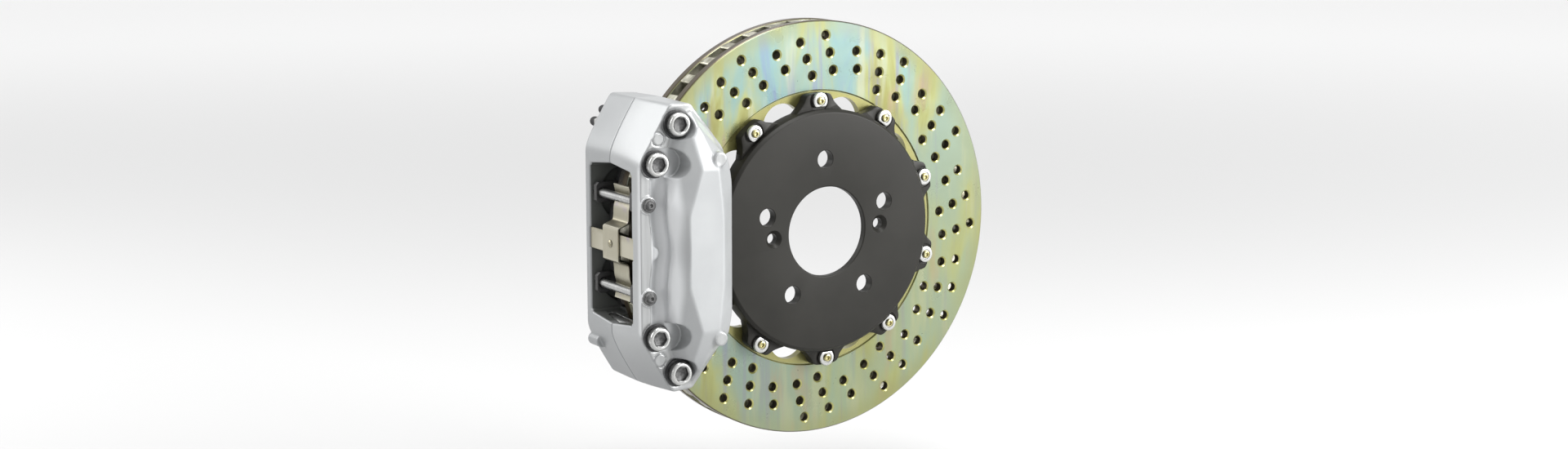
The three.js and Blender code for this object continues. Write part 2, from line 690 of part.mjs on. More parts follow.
// ---------------------------------------------------------------- pistons and pads
const SIDES = [
  { side: -1, name: "outboard" },
  { side: 1, name: "inboard" },
];
const PISTON_PLACES = [
  { end: "upper", x: PISTON_X, z: PISTON_Z },
  { end: "lower", x: PISTON_X, z: -PISTON_Z },
];
const LINING_FACE = RING_THICKNESS / 2 + PAD_GAP;
const PLATE_BACK = LINING_FACE + LINING + BACK_PLATE;

// A cup, open towards the pad.
function piston(side, place) {
  const front = PLATE_BACK + GAP;
  const back = front + PISTON_LENGTH;
  const cup = caliperRod(side, PISTON_RADIUS, front, back, place, BORE_SIDES);
  const inner = PISTON_RADIUS - PISTON_WALL;
  const hollow = caliperRod(side, inner, front - 1, back - PISTON_CROWN, place, BOSS_SIDES);
  return cup.subtract(hollow);
}

function pistonSeal(side, { x, z }) {
  const [low, high] = span(side, SEAL_DEPTH + 0.2, SEAL_DEPTH + SEAL_WIDTH - 0.2);
  return tube(SEAL_OUTER_RADIUS, PISTON_RADIUS + 0.15, low, high, x, z + CALIPER_Z, BORE_SIDES);
}

function dustBoot(side, { x, z }) {
  const [low, high] = span(side, BORE_MOUTH_DEPTH - 1.2, BORE_MOUTH_DEPTH + BOOT_WIDTH - 0.2);
  return tube(BOOT_OUTER_RADIUS, PISTON_RADIUS + 0.4, low, high, x, z + CALIPER_Z, BORE_SIDES);
}

function padOutline(side, fromDepth, toDepth, half) {
  const [low, high] = span(side, fromDepth, toDepth);
  const block = box([-FAR, low, CALIPER_Z - half], [0, high, CALIPER_Z + half]);
  return tube(PAD_OUTER_RADIUS, PAD_INNER_RADIUS, low - 1, high + 1, 0, 0, DISC_SIDES).intersect(block);
}

function padPlate(side) {
  const fromDepth = LINING_FACE + LINING + GAP;
  const [low, high] = span(side, fromDepth, PLATE_BACK);
  const tabs = [CALIPER_Z + PIN_Z, CALIPER_Z - PIN_Z].map((z) =>
    box([PAD_TAB_X, low, z - PAD_TAB_HALF], [WINDOW_FLOOR_X, high, z + PAD_TAB_HALF]));
  const holes = bothEnds({ x: PIN_X, z: PIN_Z }).map((place) =>
    caliperRod(side, PIN_HOLE_RADIUS, fromDepth - 1, PLATE_BACK + 1, place, PIN_SIDES));
  return subtractAll(addAll([padOutline(side, fromDepth, PLATE_BACK, PAD_HALF), ...tabs]), holes);
}

function padLining(side) {
  const block = padOutline(side, LINING_FACE, LINING_FACE + LINING, PAD_HALF - 2);
  const [low, high] = span(side, LINING_FACE - 1, LINING_FACE + LINING - LINING_LEFT);
  const slot = box([-FAR, low, CALIPER_Z - LINING_SLOT_HALF], [0, high, CALIPER_Z + LINING_SLOT_HALF]);
  return block.subtract(slot);
}

for (const { side, name } of SIDES) {
  addPiece(`pad_plate_${name}`, padPlate(side), PAINT.plateBlack);
  addPiece(`pad_lining_${name}`, padLining(side), PAINT.lining);
  for (const place of PISTON_PLACES) {
    addPiece(`piston_${name}_${place.end}`, piston(side, place), PAINT.darkSteel);
    addPiece(`piston_seal_${name}_${place.end}`, pistonSeal(side, place), PAINT.rubber);
    addPiece(`dust_boot_${name}_${place.end}`, dustBoot(side, place), PAINT.rubber);
  }
}

// ---------------------------------------------------------------- pins, strap and clip
function padPin(z) {
  const profile = [
    [0, atDepth(-1, PIN_OUT_DEPTH)],
    [PIN_RADIUS - 0.8, atDepth(-1, PIN_OUT_DEPTH)],
    [PIN_RADIUS, atDepth(-1, PIN_OUT_DEPTH - 1)],
    [PIN_RADIUS, atDepth(-1, PIN_COLLAR_TOP)],
    [PIN_COLLAR_RADIUS, atDepth(-1, PIN_COLLAR_TOP)],
    [PIN_COLLAR_RADIUS, atDepth(-1, PIN_COLLAR_FOOT)],
    [PIN_RADIUS, atDepth(-1, PIN_COLLAR_FOOT)],
    [PIN_RADIUS, atDepth(1, PIN_IN_DEPTH - 1)],
    [PIN_RADIUS - 1, atDepth(1, PIN_IN_DEPTH)],
    [0, atDepth(1, PIN_IN_DEPTH)],
  ];
  return turned(profile, PIN_SIDES, PIN_X, z + CALIPER_Z);
}

const rivetBore = () =>
  crossRod(CLIP_RIVET_RADIUS + 0.2, -FAR, PIN_X, RING_MIDDLE, CALIPER_Z, NIPPLE_SIDES);

function crossStrap() {
  const low = [STRAP_X - STRAP, RING_MIDDLE - STRAP_HALF_LENGTH, CALIPER_Z - STRAP_HALF_WIDTH];
  const high = [STRAP_X, RING_MIDDLE + STRAP_HALF_LENGTH, CALIPER_Z + STRAP_HALF_WIDTH];
  return box(low, high).subtract(rivetBore());
}

// The outline of a bent strip: its centre line thickened to both sides.
function stripOutline(path, thickness) {
  const sides = [1, -1].map((sign) => path.map(([x, z], index) => {
    const [fromX, fromZ] = path[Math.max(index - 1, 0)];
    const [toX, toZ] = path[Math.min(index + 1, path.length - 1)];
    const length = Math.hypot(toX - fromX, toZ - fromZ);
    const offset = (sign * thickness) / 2 / length;
    return [x - (toZ - fromZ) * offset, z + (toX - fromX) * offset];
  }));
  return [...sides[0], ...sides[1].reverse()];
}

// A long leaf: its ends lie under the pad pins, and its middle arches over the strap.
function springClip() {
  const top = STRAP_X - STRAP - GAP - CLIP / 2;
  const underPin = PIN_X + PIN_RADIUS + GAP + CLIP / 2;
  const low = CLIP_LOW_BENDS.map(([offset, height]) => [underPin + offset, height]);
  const high = CLIP_HIGH_BENDS.map(([offset, height]) => [top + offset, height]);
  const upper = [...low, ...high];
  const path = [...upper, ...[...upper].reverse().map(([x, z]) => [x, -z])];
  const centred = path.map(([x, z]) => [x, z + CALIPER_Z]);
  const outline = stripOutline(centred, CLIP);
  const leaf = prism(outline, RING_MIDDLE - CLIP_HALF_LENGTH, RING_MIDDLE + CLIP_HALF_LENGTH);
  return leaf.subtract(rivetBore());
}

function clipRivet() {
  const outer = STRAP_X - STRAP - GAP - CLIP - GAP;
  const inner = STRAP_X + GAP;
  const part = (radius, fromX, toX, sides) => crossRod(radius, fromX, toX, RING_MIDDLE, CALIPER_Z, sides);
  return addAll([
    part(CLIP_RIVET_RADIUS, outer - 1, inner + 1, NIPPLE_SIDES),
    part(CLIP_RIVET_HEAD_RADIUS, outer - CLIP_RIVET_HEAD, outer, PIN_SIDES),
    part(CLIP_RIVET_HEAD_RADIUS, inner, inner + CLIP_RIVET_HEAD, PIN_SIDES),
  ]);
}

addPiece("pad_pin_upper", padPin(PIN_Z), PAINT.steel);
addPiece("pad_pin_lower", padPin(-PIN_Z), PAINT.steel);
addPiece("cross_strap", crossStrap(), PAINT.champagne);
addPiece("spring_clip", springClip(), PAINT.champagne);
addPiece("clip_rivet", clipRivet(), PAINT.champagne);

// ---------------------------------------------------------------- bleed screws and inlet
function bleedScrew(place) {
  const base = INNER_FLANGE_DEPTH + GAP;
  return addAll([
    caliperRod(1, BLEED_PORT_RADIUS - 0.3, BLEED_PORT_DEPTH + 0.5, base + 1, place, PIN_SIDES),
    caliperRod(1, BLEED_HEX_RADIUS, base, base + BLEED_HEX, place, HEX_SIDES),
    caliperRod(1, NIPPLE_RADIUS, base + BLEED_HEX - 1, base + NIPPLE, place, NIPPLE_SIDES),
  ]);
}

function bleedCap(place) {
  const base = INNER_FLANGE_DEPTH + GAP + BLEED_HEX + GAP;
  const shell = addAll([
    caliperRod(1, CAP_RADIUS, base, base + 2, place, BOSS_SIDES),
    caliperRod(1, CAP_WALL_RADIUS, base + 1, base + CAP, place, BOSS_SIDES),
  ]);
  return shell.subtract(caliperRod(1, NIPPLE_RADIUS + GAP, base - 1, base + CAP_HOLLOW, place, NIPPLE_SIDES));
}

function inletPlug() {
  return addAll([
    caliperRod(1, INLET.radius, INLET_HOLE_DEPTH + 4, INLET_FACE_DEPTH + 1, INLET, BOSS_SIDES),
    caliperRod(1, INLET_HEX_RADIUS, INLET_FACE_DEPTH + GAP, INLET_FACE_DEPTH + INLET_HEX, INLET, HEX_SIDES),
  ]);
}

for (const place of BLEED_PORTS) {
  addPiece(`bleed_screw_${place.name}`, bleedScrew(place), PAINT.steel);
  addPiece(`bleed_cap_${place.name}`, bleedCap(place), PAINT.rubber);
}
addPiece("inlet_plug", inletPlug(), PAINT.steel);

export default model;
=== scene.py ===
"""Looks for the brake caliper with disc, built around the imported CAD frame.

Lengths are millimetres until a mesh is made. The frame is the CAD's: the disc turns about
Y, the wheel side faces -Y, +Z is up and the caliper is on the -X side.
"""
import math

import bmesh
import bpy
import numpy as np
from mathutils import Matrix, Vector


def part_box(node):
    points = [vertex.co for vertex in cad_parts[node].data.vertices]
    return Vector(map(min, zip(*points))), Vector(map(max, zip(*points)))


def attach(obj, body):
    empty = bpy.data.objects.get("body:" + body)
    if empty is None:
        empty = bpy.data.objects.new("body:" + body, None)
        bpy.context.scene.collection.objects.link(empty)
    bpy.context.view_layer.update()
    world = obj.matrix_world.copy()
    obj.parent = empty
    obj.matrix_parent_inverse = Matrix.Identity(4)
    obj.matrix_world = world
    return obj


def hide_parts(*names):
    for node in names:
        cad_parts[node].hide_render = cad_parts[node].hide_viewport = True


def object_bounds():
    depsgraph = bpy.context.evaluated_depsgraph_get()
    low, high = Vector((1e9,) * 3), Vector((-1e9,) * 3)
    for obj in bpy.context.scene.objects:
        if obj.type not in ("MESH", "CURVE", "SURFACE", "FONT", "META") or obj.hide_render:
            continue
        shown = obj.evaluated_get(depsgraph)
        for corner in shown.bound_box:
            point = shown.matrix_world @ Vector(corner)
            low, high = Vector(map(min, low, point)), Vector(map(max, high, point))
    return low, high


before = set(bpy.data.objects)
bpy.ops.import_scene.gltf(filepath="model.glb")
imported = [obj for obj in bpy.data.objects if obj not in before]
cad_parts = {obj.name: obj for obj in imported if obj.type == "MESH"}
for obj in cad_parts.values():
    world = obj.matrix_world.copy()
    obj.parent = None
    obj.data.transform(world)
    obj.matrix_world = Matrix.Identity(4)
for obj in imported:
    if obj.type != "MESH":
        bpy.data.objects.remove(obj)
cad_low, cad_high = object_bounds()

MM = 0.001
CREASE = math.radians(32)  # edges sharper than this stay sharp when shaded
MERGE = 0.002  # points nearer than this are one point
POINT = 0.002  # the radius of a turned solid where it closes on its axis
SEAM = 0.003  # between the two ends of a looped profile


def box_mm(node):
    """A CAD node's lowest and highest corners, in millimetres."""
    low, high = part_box(node)
    return low / MM, high / MM


# ------------------------------------------------------------ sizes from the frame
RING_LOW, RING_HIGH = box_mm("disc_ring")
HAT_LOW, HAT_HIGH = box_mm("disc_hat")
OUT_LOW, OUT_HIGH = box_mm("caliper_outboard_half")
IN_LOW, IN_HIGH = box_mm("caliper_inboard_half")

RING_RADIUS = RING_HIGH.z
RING_FRONT, RING_BACK = RING_LOW.y, RING_HIGH.y
JOINT_Y = OUT_HIGH.y  # the face where the caliper's halves meet, in the disc's middle
CALIPER_Z = (OUT_LOW.z + OUT_HIGH.z) / 2
SIDE_X = OUT_LOW.x
FLANGE = 46.0  # depth of the outboard flange face from the joint face
INNER_FLANGE = 40.0
BODY = JOINT_Y - OUT_LOW.y  # depth of the flat over the pistons


def centre_of(node):
    """Where a round piece's axis crosses the XZ plane, as (x, z)."""
    low, high = box_mm(node)
    return (low.x + high.x) / 2, (low.z + high.z) / 2


BOLTS = [centre_of(f"bridge_bolt_{number}") for number in range(1, 5)]
PINS = [centre_of("pad_pin_upper"), centre_of("pad_pin_lower")]
PORTS = [centre_of("crossover_seal_1"), centre_of("crossover_seal_2")]
PISTONS = [centre_of("piston_outboard_upper"), centre_of("piston_outboard_lower")]
BLEEDERS = [centre_of("bleed_screw_inner"), centre_of("bleed_screw_outer")]
INLET = centre_of("inlet_plug")


# ------------------------------------------------------------ materials
class Paint:
    """A node material with short calls for the nodes that the finishes share."""

    def __init__(self, name, roughness, metallic, **sockets):
        self.material = bpy.data.materials.new(name)
        self.material.use_nodes = True
        self.tree = self.material.node_tree
        self.shader = self.tree.nodes["Principled BSDF"]
        self.set("Roughness", roughness)
        self.set("Metallic", metallic)
        for socket, value in sockets.items():
            self.set(socket.replace("_", " "), value)
        self.place = self.add("ShaderNodeTexCoord").outputs["Object"]

    def set(self, socket, value):
        self.shader.inputs[socket].default_value = value

    def add(self, kind, **settings):
        node = self.tree.nodes.new(kind)
        for key, value in settings.items():
            setattr(node, key, value)
        return node

    def join(self, output, socket):
        self.tree.links.new(output, socket)

    def feed(self, output, socket):
        self.join(output, self.shader.inputs[socket])

    def stretched(self, scale):
        """The place, in metres, scaled by three numbers."""
        mapping = self.add("ShaderNodeMapping")
        mapping.inputs["Scale"].default_value = scale
        self.join(self.place, mapping.inputs["Vector"])
        return mapping.outputs["Vector"]

    def noise(self, scale, stretch=(1, 1, 1), detail=3, roughness=0.55, distortion=0):
        node = self.add("ShaderNodeTexNoise")
        self.join(self.stretched(stretch), node.inputs["Vector"])
        node.inputs["Scale"].default_value = scale
        node.inputs["Detail"].default_value = detail
        node.inputs["Roughness"].default_value = roughness
        node.inputs["Distortion"].default_value = distortion
        return node.outputs["Fac"]

    def ramp(self, factor, stops):
        """Colours along a factor. A stop is (position, (r, g, b)) or (position, grey)."""
        node = self.add("ShaderNodeValToRGB")
        while len(node.color_ramp.elements) < len(stops):
            node.color_ramp.elements.new(1)
        for element, (position, colour) in zip(node.color_ramp.elements, stops):
            element.position = position
            grey = isinstance(colour, (int, float))
            element.color = (colour,) * 3 + (1,) if grey else (*colour, 1)
        self.join(factor, node.inputs["Fac"])
        return node.outputs["Color"]

    def mix(self, factor, first, second):
        """Mixes two colours. Each of the three is an output or a plain value."""
        node = self.add("ShaderNodeMix", data_type="RGBA")
        for value, socket in ((factor, 0), (first, 6), (second, 7)):
            if isinstance(value, bpy.types.NodeSocket):
                self.join(value, node.inputs[socket])
            elif socket == 0:
                node.inputs[socket].default_value = value
            else:
                node.inputs[socket].default_value = (*value, 1)
        return node.outputs[2]

    def math(self, operation, *values):
        node = self.add("ShaderNodeMath", operation=operation)
        for index, value in enumerate(values):
            if isinstance(value, bpy.types.NodeSocket):
                self.join(value, node.inputs[index])
            else:
                node.inputs[index].default_value = value
        return node.outputs[0]

    def axes(self):
        """The place in millimetres, as three outputs x, y and z."""
        node = self.add("ShaderNodeSeparateXYZ")
        self.join(self.stretched((1 / MM,) * 3), node.inputs[0])
        return node.outputs

    def length(self, first, second):
        squares = [self.math("MULTIPLY", side, side) for side in (first, second)]
        return self.math("SQRT", self.math("ADD", *squares))

    def radius(self):
        """The distance from the disc's axis, in millimetres."""
        x, _, z = self.axes()
        return self.length(x, z)

    def step(self, value, low, high):
        """0 below low and 1 above high, smooth between."""
        node = self.add("ShaderNodeMapRange", interpolation_type="SMOOTHSTEP")
        self.join(value, node.inputs["Value"])
        node.inputs["From Min"].default_value = low
        node.inputs["From Max"].default_value = high
        return node.outputs["Result"]

    def worn(self, low=0.52, high=0.6):
        """1 along edges that stick out, from the mesh's own shape."""
        return self.step(self.add("ShaderNodeNewGeometry").outputs["Pointiness"], low, high)

    def bump(self, height, strength, distance=0.2, after=None):
        node = self.add("ShaderNodeBump")
        node.inputs["Strength"].default_value = strength
        node.inputs["Distance"].default_value = distance * MM
        self.join(height, node.inputs["Height"])
        if after is not None:
            self.join(after, node.inputs["Normal"])
        self.feed(node.outputs["Normal"], "Normal")
        return node.outputs["Normal"]

    def part_of(self, factor, share):
        """A factor made weaker."""
        return self.math("MULTIPLY", factor, share)

    def rough(self, factor, low, high):
        node = self.add("ShaderNodeMapRange")
        self.join(factor, node.inputs["Value"])
        node.inputs["To Min"].default_value = low
        node.inputs["To Max"].default_value = high
        self.feed(node.outputs["Result"], "Roughness")


def zinc_plate():
    """Passivated zinc: pale cyan with yellow, lilac and pink streaks that ran downwards."""
    paint = Paint("zinc_plate", 0.3, 0.6, Coat_Weight=0.15, Coat_Roughness=0.1)
    streaks = paint.noise(30, (1, 1, 0.22), detail=5, distortion=0.8)
    film = paint.ramp(streaks, [
        (0.34, (0.115, 0.160, 0.225)),
        (0.42, (0.130, 0.215, 0.205)),
        (0.50, (0.165, 0.220, 0.165)),
        (0.57, (0.215, 0.230, 0.095)),
        (0.66, (0.170, 0.165, 0.050)),
    ])
    patches = paint.noise(13, (1, 1, 0.55), detail=2)
    film = paint.mix(paint.step(patches, 0.47, 0.66), film, (0.135, 0.200, 0.190))
    thin = paint.noise(150, (1, 1, 0.05), detail=3)
    film = paint.mix(paint.part_of(paint.step(thin, 0.54, 0.70), 0.6), film, (0.115, 0.115, 0.215))
    pale = paint.noise(80, (1, 1, 0.12), detail=3)
    film = paint.mix(paint.part_of(paint.step(pale, 0.52, 0.68), 0.6), film, (0.260, 0.275, 0.200))
    spots = paint.noise(46, (1, 1, 0.3), detail=3)
    film = paint.mix(paint.part_of(paint.step(spots, 0.60, 0.72), 0.5), film, (0.235, 0.140, 0.120))
    x, _, height = paint.axes()
    low_right = paint.step(paint.math("SUBTRACT", x, height), -120, 170)
    film = paint.mix(paint.part_of(low_right, 0.5), film, (0.185, 0.195, 0.065))
    radius = paint.radius()
    edge = paint.step(radius, RING_RADIUS - 18, RING_RADIUS - 2)
    soft_edge = paint.math("MULTIPLY", edge, paint.ramp(patches, [(0.4, 0.8), (0.6, 0.3)]))
    film = paint.mix(soft_edge, film, (0.170, 0.175, 0.070))
    lugs = paint.math("SUBTRACT", 1, paint.step(radius, 108.4, 109.4))
    film = paint.mix(lugs, film, (0.210, 0.200, 0.070))
    # painted reflection: the plates' outer rim is darkened to brown as a dark reflection on the edge
    rim = paint.step(radius, RING_RADIUS - 1.0, RING_RADIUS - 0.3)
    film = paint.mix(rim, film, (0.060, 0.045, 0.025))
    paint.feed(film, "Base Color")
    paint.bump(paint.noise(900, detail=2), 0.05, 0.02)
    paint.rough(paint.noise(50, detail=3), 0.2, 0.4)
    return paint.material


def chamfer_gold():
    """The ring's chamfers, where the film is thin and yellow."""
    paint = Paint("chamfer_gold", 0.28, 0.8)
    tint = paint.noise(160, detail=2)
    paint.feed(paint.ramp(tint, [(0.35, (0.36, 0.36, 0.12)), (0.65, (0.52, 0.50, 0.22))]), "Base Color")
    paint.bump(paint.noise(1500), 0.08, 0.02)
    return paint.material


def vane_zinc():
    """The cast rim between the plates: alternating bright and dull zinc."""
    paint = Paint("vane_zinc", 0.38, 0.85)
    cast = paint.noise(110, detail=5, roughness=0.6)
    paint.feed(paint.ramp(cast, [
        (0.32, (0.16, 0.16, 0.11)),
        (0.50, (0.42, 0.41, 0.33)),
        (0.68, (0.72, 0.70, 0.60)),
    ]), "Base Color")
    paint.bump(paint.noise(420, detail=4), 0.45, 0.25)
    return paint.material


def hat_black():
    """Black anodised aluminium with very fine turning marks."""
    paint = Paint("hat_black", 0.4, 0.15, Specular_IOR_Level=0.2)
    radius = paint.radius()
    grooves = paint.math("SINE", paint.math("MULTIPLY", radius, 9.0))
    cloud = paint.noise(22, detail=3)
    base = paint.ramp(cloud, [(0.3, (0.0125, 0.0120, 0.0100)), (0.7, (0.0170, 0.0162, 0.0138))])
    paint.feed(base, "Base Color")
    paint.bump(grooves, 0.05, 0.02, after=paint.bump(paint.noise(1400), 0.08, 0.02))
    paint.rough(cloud, 0.36, 0.5)
    return paint.material


def caliper_silver():
    """Silver-grey paint over a casting, with painted light: a painted highlight in the channel, painted
    shade at the low end and on the inboard half, and dark bare metal with painted shade in the window.
    """
    paint = Paint("caliper_silver", 0.36, 0.22, Coat_Weight=0.2, Coat_Roughness=0.25)
    cloud = paint.noise(30, detail=3)
    base = paint.ramp(cloud, [(0.3, (0.285, 0.293, 0.297)), (0.7, (0.315, 0.323, 0.327))])
    flakes = paint.noise(5200, detail=1)
    base = paint.mix(paint.step(flakes, 0.62, 0.72), base, (0.40, 0.41, 0.415))
    x, y, z = paint.axes()
    # painted shade: the low end of the casting is darkened, where less light falls
    low_end_shade = paint.step(z, CALIPER_Z - 62, CALIPER_Z - 108)
    base = paint.mix(paint.part_of(low_end_shade, 0.5), base, (0.15, 0.155, 0.158))
    height = paint.math("ABSOLUTE", paint.math("SUBTRACT", z, CALIPER_Z))
    depth = paint.math("ABSOLUTE", paint.math("SUBTRACT", y, JOINT_Y))
    # painted highlight: the channel is lightened where the light falls on it
    groove = paint.math("MULTIPLY", paint.step(depth, 40, 46), paint.step(x, -146, -152))
    groove = paint.math("MULTIPLY", groove, paint.step(height, 66, 60))
    groove = paint.math("MULTIPLY", groove, paint.step(y, JOINT_Y, JOINT_Y - 20))
    base = paint.mix(paint.part_of(groove, 0.8), base, (0.58, 0.59, 0.60))
    # the window and pad bay: dark bare metal, with painted shade over it
    window_bare_and_shade = paint.math("SUBTRACT", 1, paint.step(height, 60.6, 61.2))
    window_bare_and_shade = paint.math("MULTIPLY", window_bare_and_shade, paint.math("SUBTRACT", 1, paint.step(depth, 40.5, 41.5)))
    window_bare_and_shade = paint.math("MULTIPLY", window_bare_and_shade, paint.step(x, SIDE_X + 0.9, SIDE_X + 1.6))
    base = paint.mix(window_bare_and_shade, base, (0.10, 0.105, 0.095))
    # painted shade: the inboard half is darkened, as its facets fall away from the light
    inboard = paint.part_of(paint.step(y, JOINT_Y - 0.4, JOINT_Y + 0.4), 0.30)
    base = paint.mix(inboard, base, (0.14, 0.147, 0.152))
    paint.feed(base, "Base Color")
    peel = paint.noise(420, detail=2, roughness=0.4)
    paint.bump(peel, 0.10, 0.10, after=paint.bump(paint.noise(2400, detail=1), 0.06, 0.02))
    paint.rough(cloud, 0.30, 0.44)
    return paint.material


def bright_steel():
    paint = Paint("bright_steel", 0.27, 0.92)
    marks = paint.noise(300, detail=2)
    base = paint.ramp(marks, [(0.3, (0.36, 0.365, 0.36)), (0.7, (0.43, 0.43, 0.42))])
    base = paint.mix(paint.worn(), base, (0.60, 0.60, 0.585))
    paint.feed(base, "Base Color")
    paint.bump(marks, 0.05, 0.01)
    paint.rough(paint.noise(90, detail=3), 0.2, 0.36)
    return paint.material


def champagne_plate():
    """Spring steel with a warm zinc-nickel plate."""
    paint = Paint("champagne_plate", 0.34, 0.82)
    rolled = paint.noise(160, (1, 6, 0.5), detail=3)
    base = paint.ramp(rolled, [(0.3, (0.235, 0.215, 0.15)), (0.7, (0.30, 0.28, 0.20))])
    lilac = paint.noise(55, detail=2)
    base = paint.mix(paint.step(lilac, 0.63, 0.72), base, (0.20, 0.15, 0.24))
    base = paint.mix(paint.worn(), base, (0.44, 0.42, 0.34))
    paint.feed(base, "Base Color")
    paint.bump(rolled, 0.08, 0.03)
    return paint.material


def pad_black():
    paint = Paint("pad_black", 0.5, 0.15)
    coat = paint.noise(320, detail=4)
    base = paint.ramp(coat, [(0.3, (0.016, 0.016, 0.017)), (0.7, (0.034, 0.034, 0.035))])
    base = paint.mix(paint.worn(0.56, 0.7), base, (0.06, 0.056, 0.05))
    paint.feed(base, "Base Color")
    paint.bump(coat, 0.3, 0.1)
    return paint.material


# Finishes whose colour and relief come from one noise: roughness, metallic, the noise,
# the colours along it, and the strength and depth of its relief.
GRAINED = {
    # the drilled walls and cast channels: a yellow film, darkened near black as painted shade in the holes
    "hole_wall_shade": (0.5, 0.55, {"scale": 260, "detail": 5, "roughness": 0.65}, [
        (0.35, (0.035, 0.028, 0.018)),
        (0.70, (0.12, 0.10, 0.06)),
    ], (0.5, 0.25)),
    # bare machined aluminium: the strip, the port plugs and the bosses
    "machined_silver": (0.34, 0.55, {"scale": 240, "stretch": (1, 1, 0.04)}, [
        (0.3, (0.25, 0.255, 0.255)),
        (0.7, (0.31, 0.315, 0.315)),
    ], (0.12, 0.03)),
    # the forged floor and walls of a hex socket
    "socket_dark": (0.5, 0.6, {"scale": 500}, [(0.3, 0.045), (0.7, 0.13)], (0.3, 0.1)),
    "rivet_gold": (0.3, 0.9, {"scale": 300}, [
        (0.32, (0.30, 0.27, 0.11)),
        (0.55, (0.42, 0.38, 0.19)),
        (0.72, (0.36, 0.38, 0.27)),
    ], (0.1, 0.04)),
    "piston_steel": (0.3, 0.85, {"scale": 200, "stretch": (1, 30, 1), "detail": 2}, [
        (0.3, (0.30, 0.31, 0.32)),
        (0.7, (0.40, 0.41, 0.42)),
    ], (0.1, 0.02)),
    "rubber_black": (0.7, 0.0, {"scale": 700, "detail": 4}, [
        (0.3, (0.012, 0.012, 0.013)),
        (0.7, (0.030, 0.030, 0.031)),
    ], (0.25, 0.06)),
    "washer_black": (0.4, 0.6, {"scale": 500}, [
        (0.3, (0.014, 0.014, 0.015)),
        (0.7, (0.040, 0.040, 0.041)),
    ], (0.15, 0.05)),
    # friction compound: a dark matrix with bright fibres and chips
    "lining_grey": (0.85, 0.0, {"scale": 650, "detail": 5, "roughness": 0.7}, [
        (0.40, (0.030, 0.028, 0.026)),
        (0.58, (0.085, 0.078, 0.070)),
        (0.70, (0.30, 0.24, 0.16)),
    ], (0.6, 0.25)),
}


def grained(name):
    roughness, metallic, noise, stops, relief = GRAINED[name]
    paint = Paint(name, roughness, metallic)
    grain = paint.noise(**noise)
    paint.feed(paint.ramp(grain, stops), "Base Color")
    paint.bump(grain, *relief)
    if name == "rubber_black":
        paint.set("Specular IOR Level", 0.3)
        paint.rough(grain, 0.6, 0.8)
    return paint.material


MAKERS = [
    zinc_plate, chamfer_gold, vane_zinc, hat_black, caliper_silver, bright_steel,
    champagne_plate, pad_black,
]
MATERIALS = {maker.__name__: maker() for maker in MAKERS}
MATERIALS.update({name: grained(name) for name in GRAINED})


# ------------------------------------------------------------ meshes
def clean(mesh, merge=True):
    """Merges a mesh's doubled points and turns its faces outwards."""
    work = bmesh.new()
    work.from_mesh(mesh)
    if merge:
        bmesh.ops.remove_doubles(work, verts=work.verts, dist=MERGE * MM)
    bmesh.ops.recalc_face_normals(work, faces=work.faces)
    work.to_mesh(mesh)
    work.free()


def mesh_from(name, points, faces, smooth=True):
    """A mesh in metres from points in millimetres."""
    mesh = bpy.data.meshes.new(name)
    mesh.from_pydata((np.asarray(points) * MM).tolist(), [], faces)
    clean(mesh)
    if smooth:
        shade(mesh)
    return mesh


def shade(mesh):
    """Smooth shading, except on faces that look straight along the disc's axis."""
    normals = np.zeros(len(mesh.polygons) * 3)
    mesh.polygons.foreach_get("normal", normals)
    mesh.polygons.foreach_set("use_smooth", np.abs(normals[1::3]) < 0.99)
    mesh.set_sharp_from_angle(angle=CREASE)
    mesh.update()


def loft(rings, looped=False):
    """Faces between rings of equal length. Open lofts are capped at both ends."""
    count = len(rings[0])
    points = [tuple(point) for ring in rings for point in ring]
    pairs = list(zip(range(len(rings) - 1), range(1, len(rings))))
    if looped:
        pairs.append((len(rings) - 1, 0))
    faces = []
    for first, second in pairs:
        for index in range(count):
            following = (index + 1) % count
            faces.append((
                first * count + index,
                first * count + following,
                second * count + following,
                second * count + index,
            ))
    if not looped:
        faces.append(tuple(range(count)))
        faces.append(tuple((len(rings) - 1) * count + index for index in range(count)))
    return points, faces


def circle(radius, count, x=0.0, z=0.0):
    turns = np.arange(count) * 2 * math.pi / count
    return np.stack([x + radius * np.cos(turns), z + radius * np.sin(turns)], 1)


def at_height(outline, y):
    """An XZ outline as 3-D points at one y."""
    return [(x, y, z) for x, z in outline]


def turned(name, profile, place=(0, 0), count=64, looped=False):
    """A round solid about a line parallel to Y, from (radius, y) points."""
    rings = [at_height(circle(max(radius, POINT), count, *place), y) for radius, y in profile]
    return mesh_from(name, *loft(rings, looped))


def cross_turned(name, profile, y, z, count=40):
    """A round solid about a line parallel to X, from (radius, x) points."""
    rings = []
    for radius, x in profile:
        ring = circle(max(radius, POINT), count)
        rings.append([(x, y + across, z + up) for across, up in ring])
    return mesh_from(name, *loft(rings))


def rounded_profile(profile, radius=0.5, steps=4):
    """The same (radius, y) profile with its inner corners rounded."""
    points = [np.array(point, float) for point in profile]
    made = [points[0]]
    for before, corner, after in zip(points, points[1:], points[2:]):
        back, ahead = before - corner, after - corner
        room = min(radius, np.linalg.norm(back) / 2.05, np.linalg.norm(ahead) / 2.05)
        start = corner + back / np.linalg.norm(back) * room
        end = corner + ahead / np.linalg.norm(ahead) * room
        for share in np.linspace(0, 1, steps + 1):
            rest = 1 - share
            made.append(rest ** 2 * start + 2 * share * rest * corner + share ** 2 * end)
    made.append(points[-1])
    return [tuple(point) for point in made]


def add_object(name, mesh, *materials):
    piece = bpy.data.objects.new(name, mesh)
    bpy.context.scene.collection.objects.link(piece)
    while len(mesh.materials) < len(materials):
        mesh.materials.append(None)
    for index, material in enumerate(materials):
        mesh.materials[index] = MATERIALS[material]
    return piece


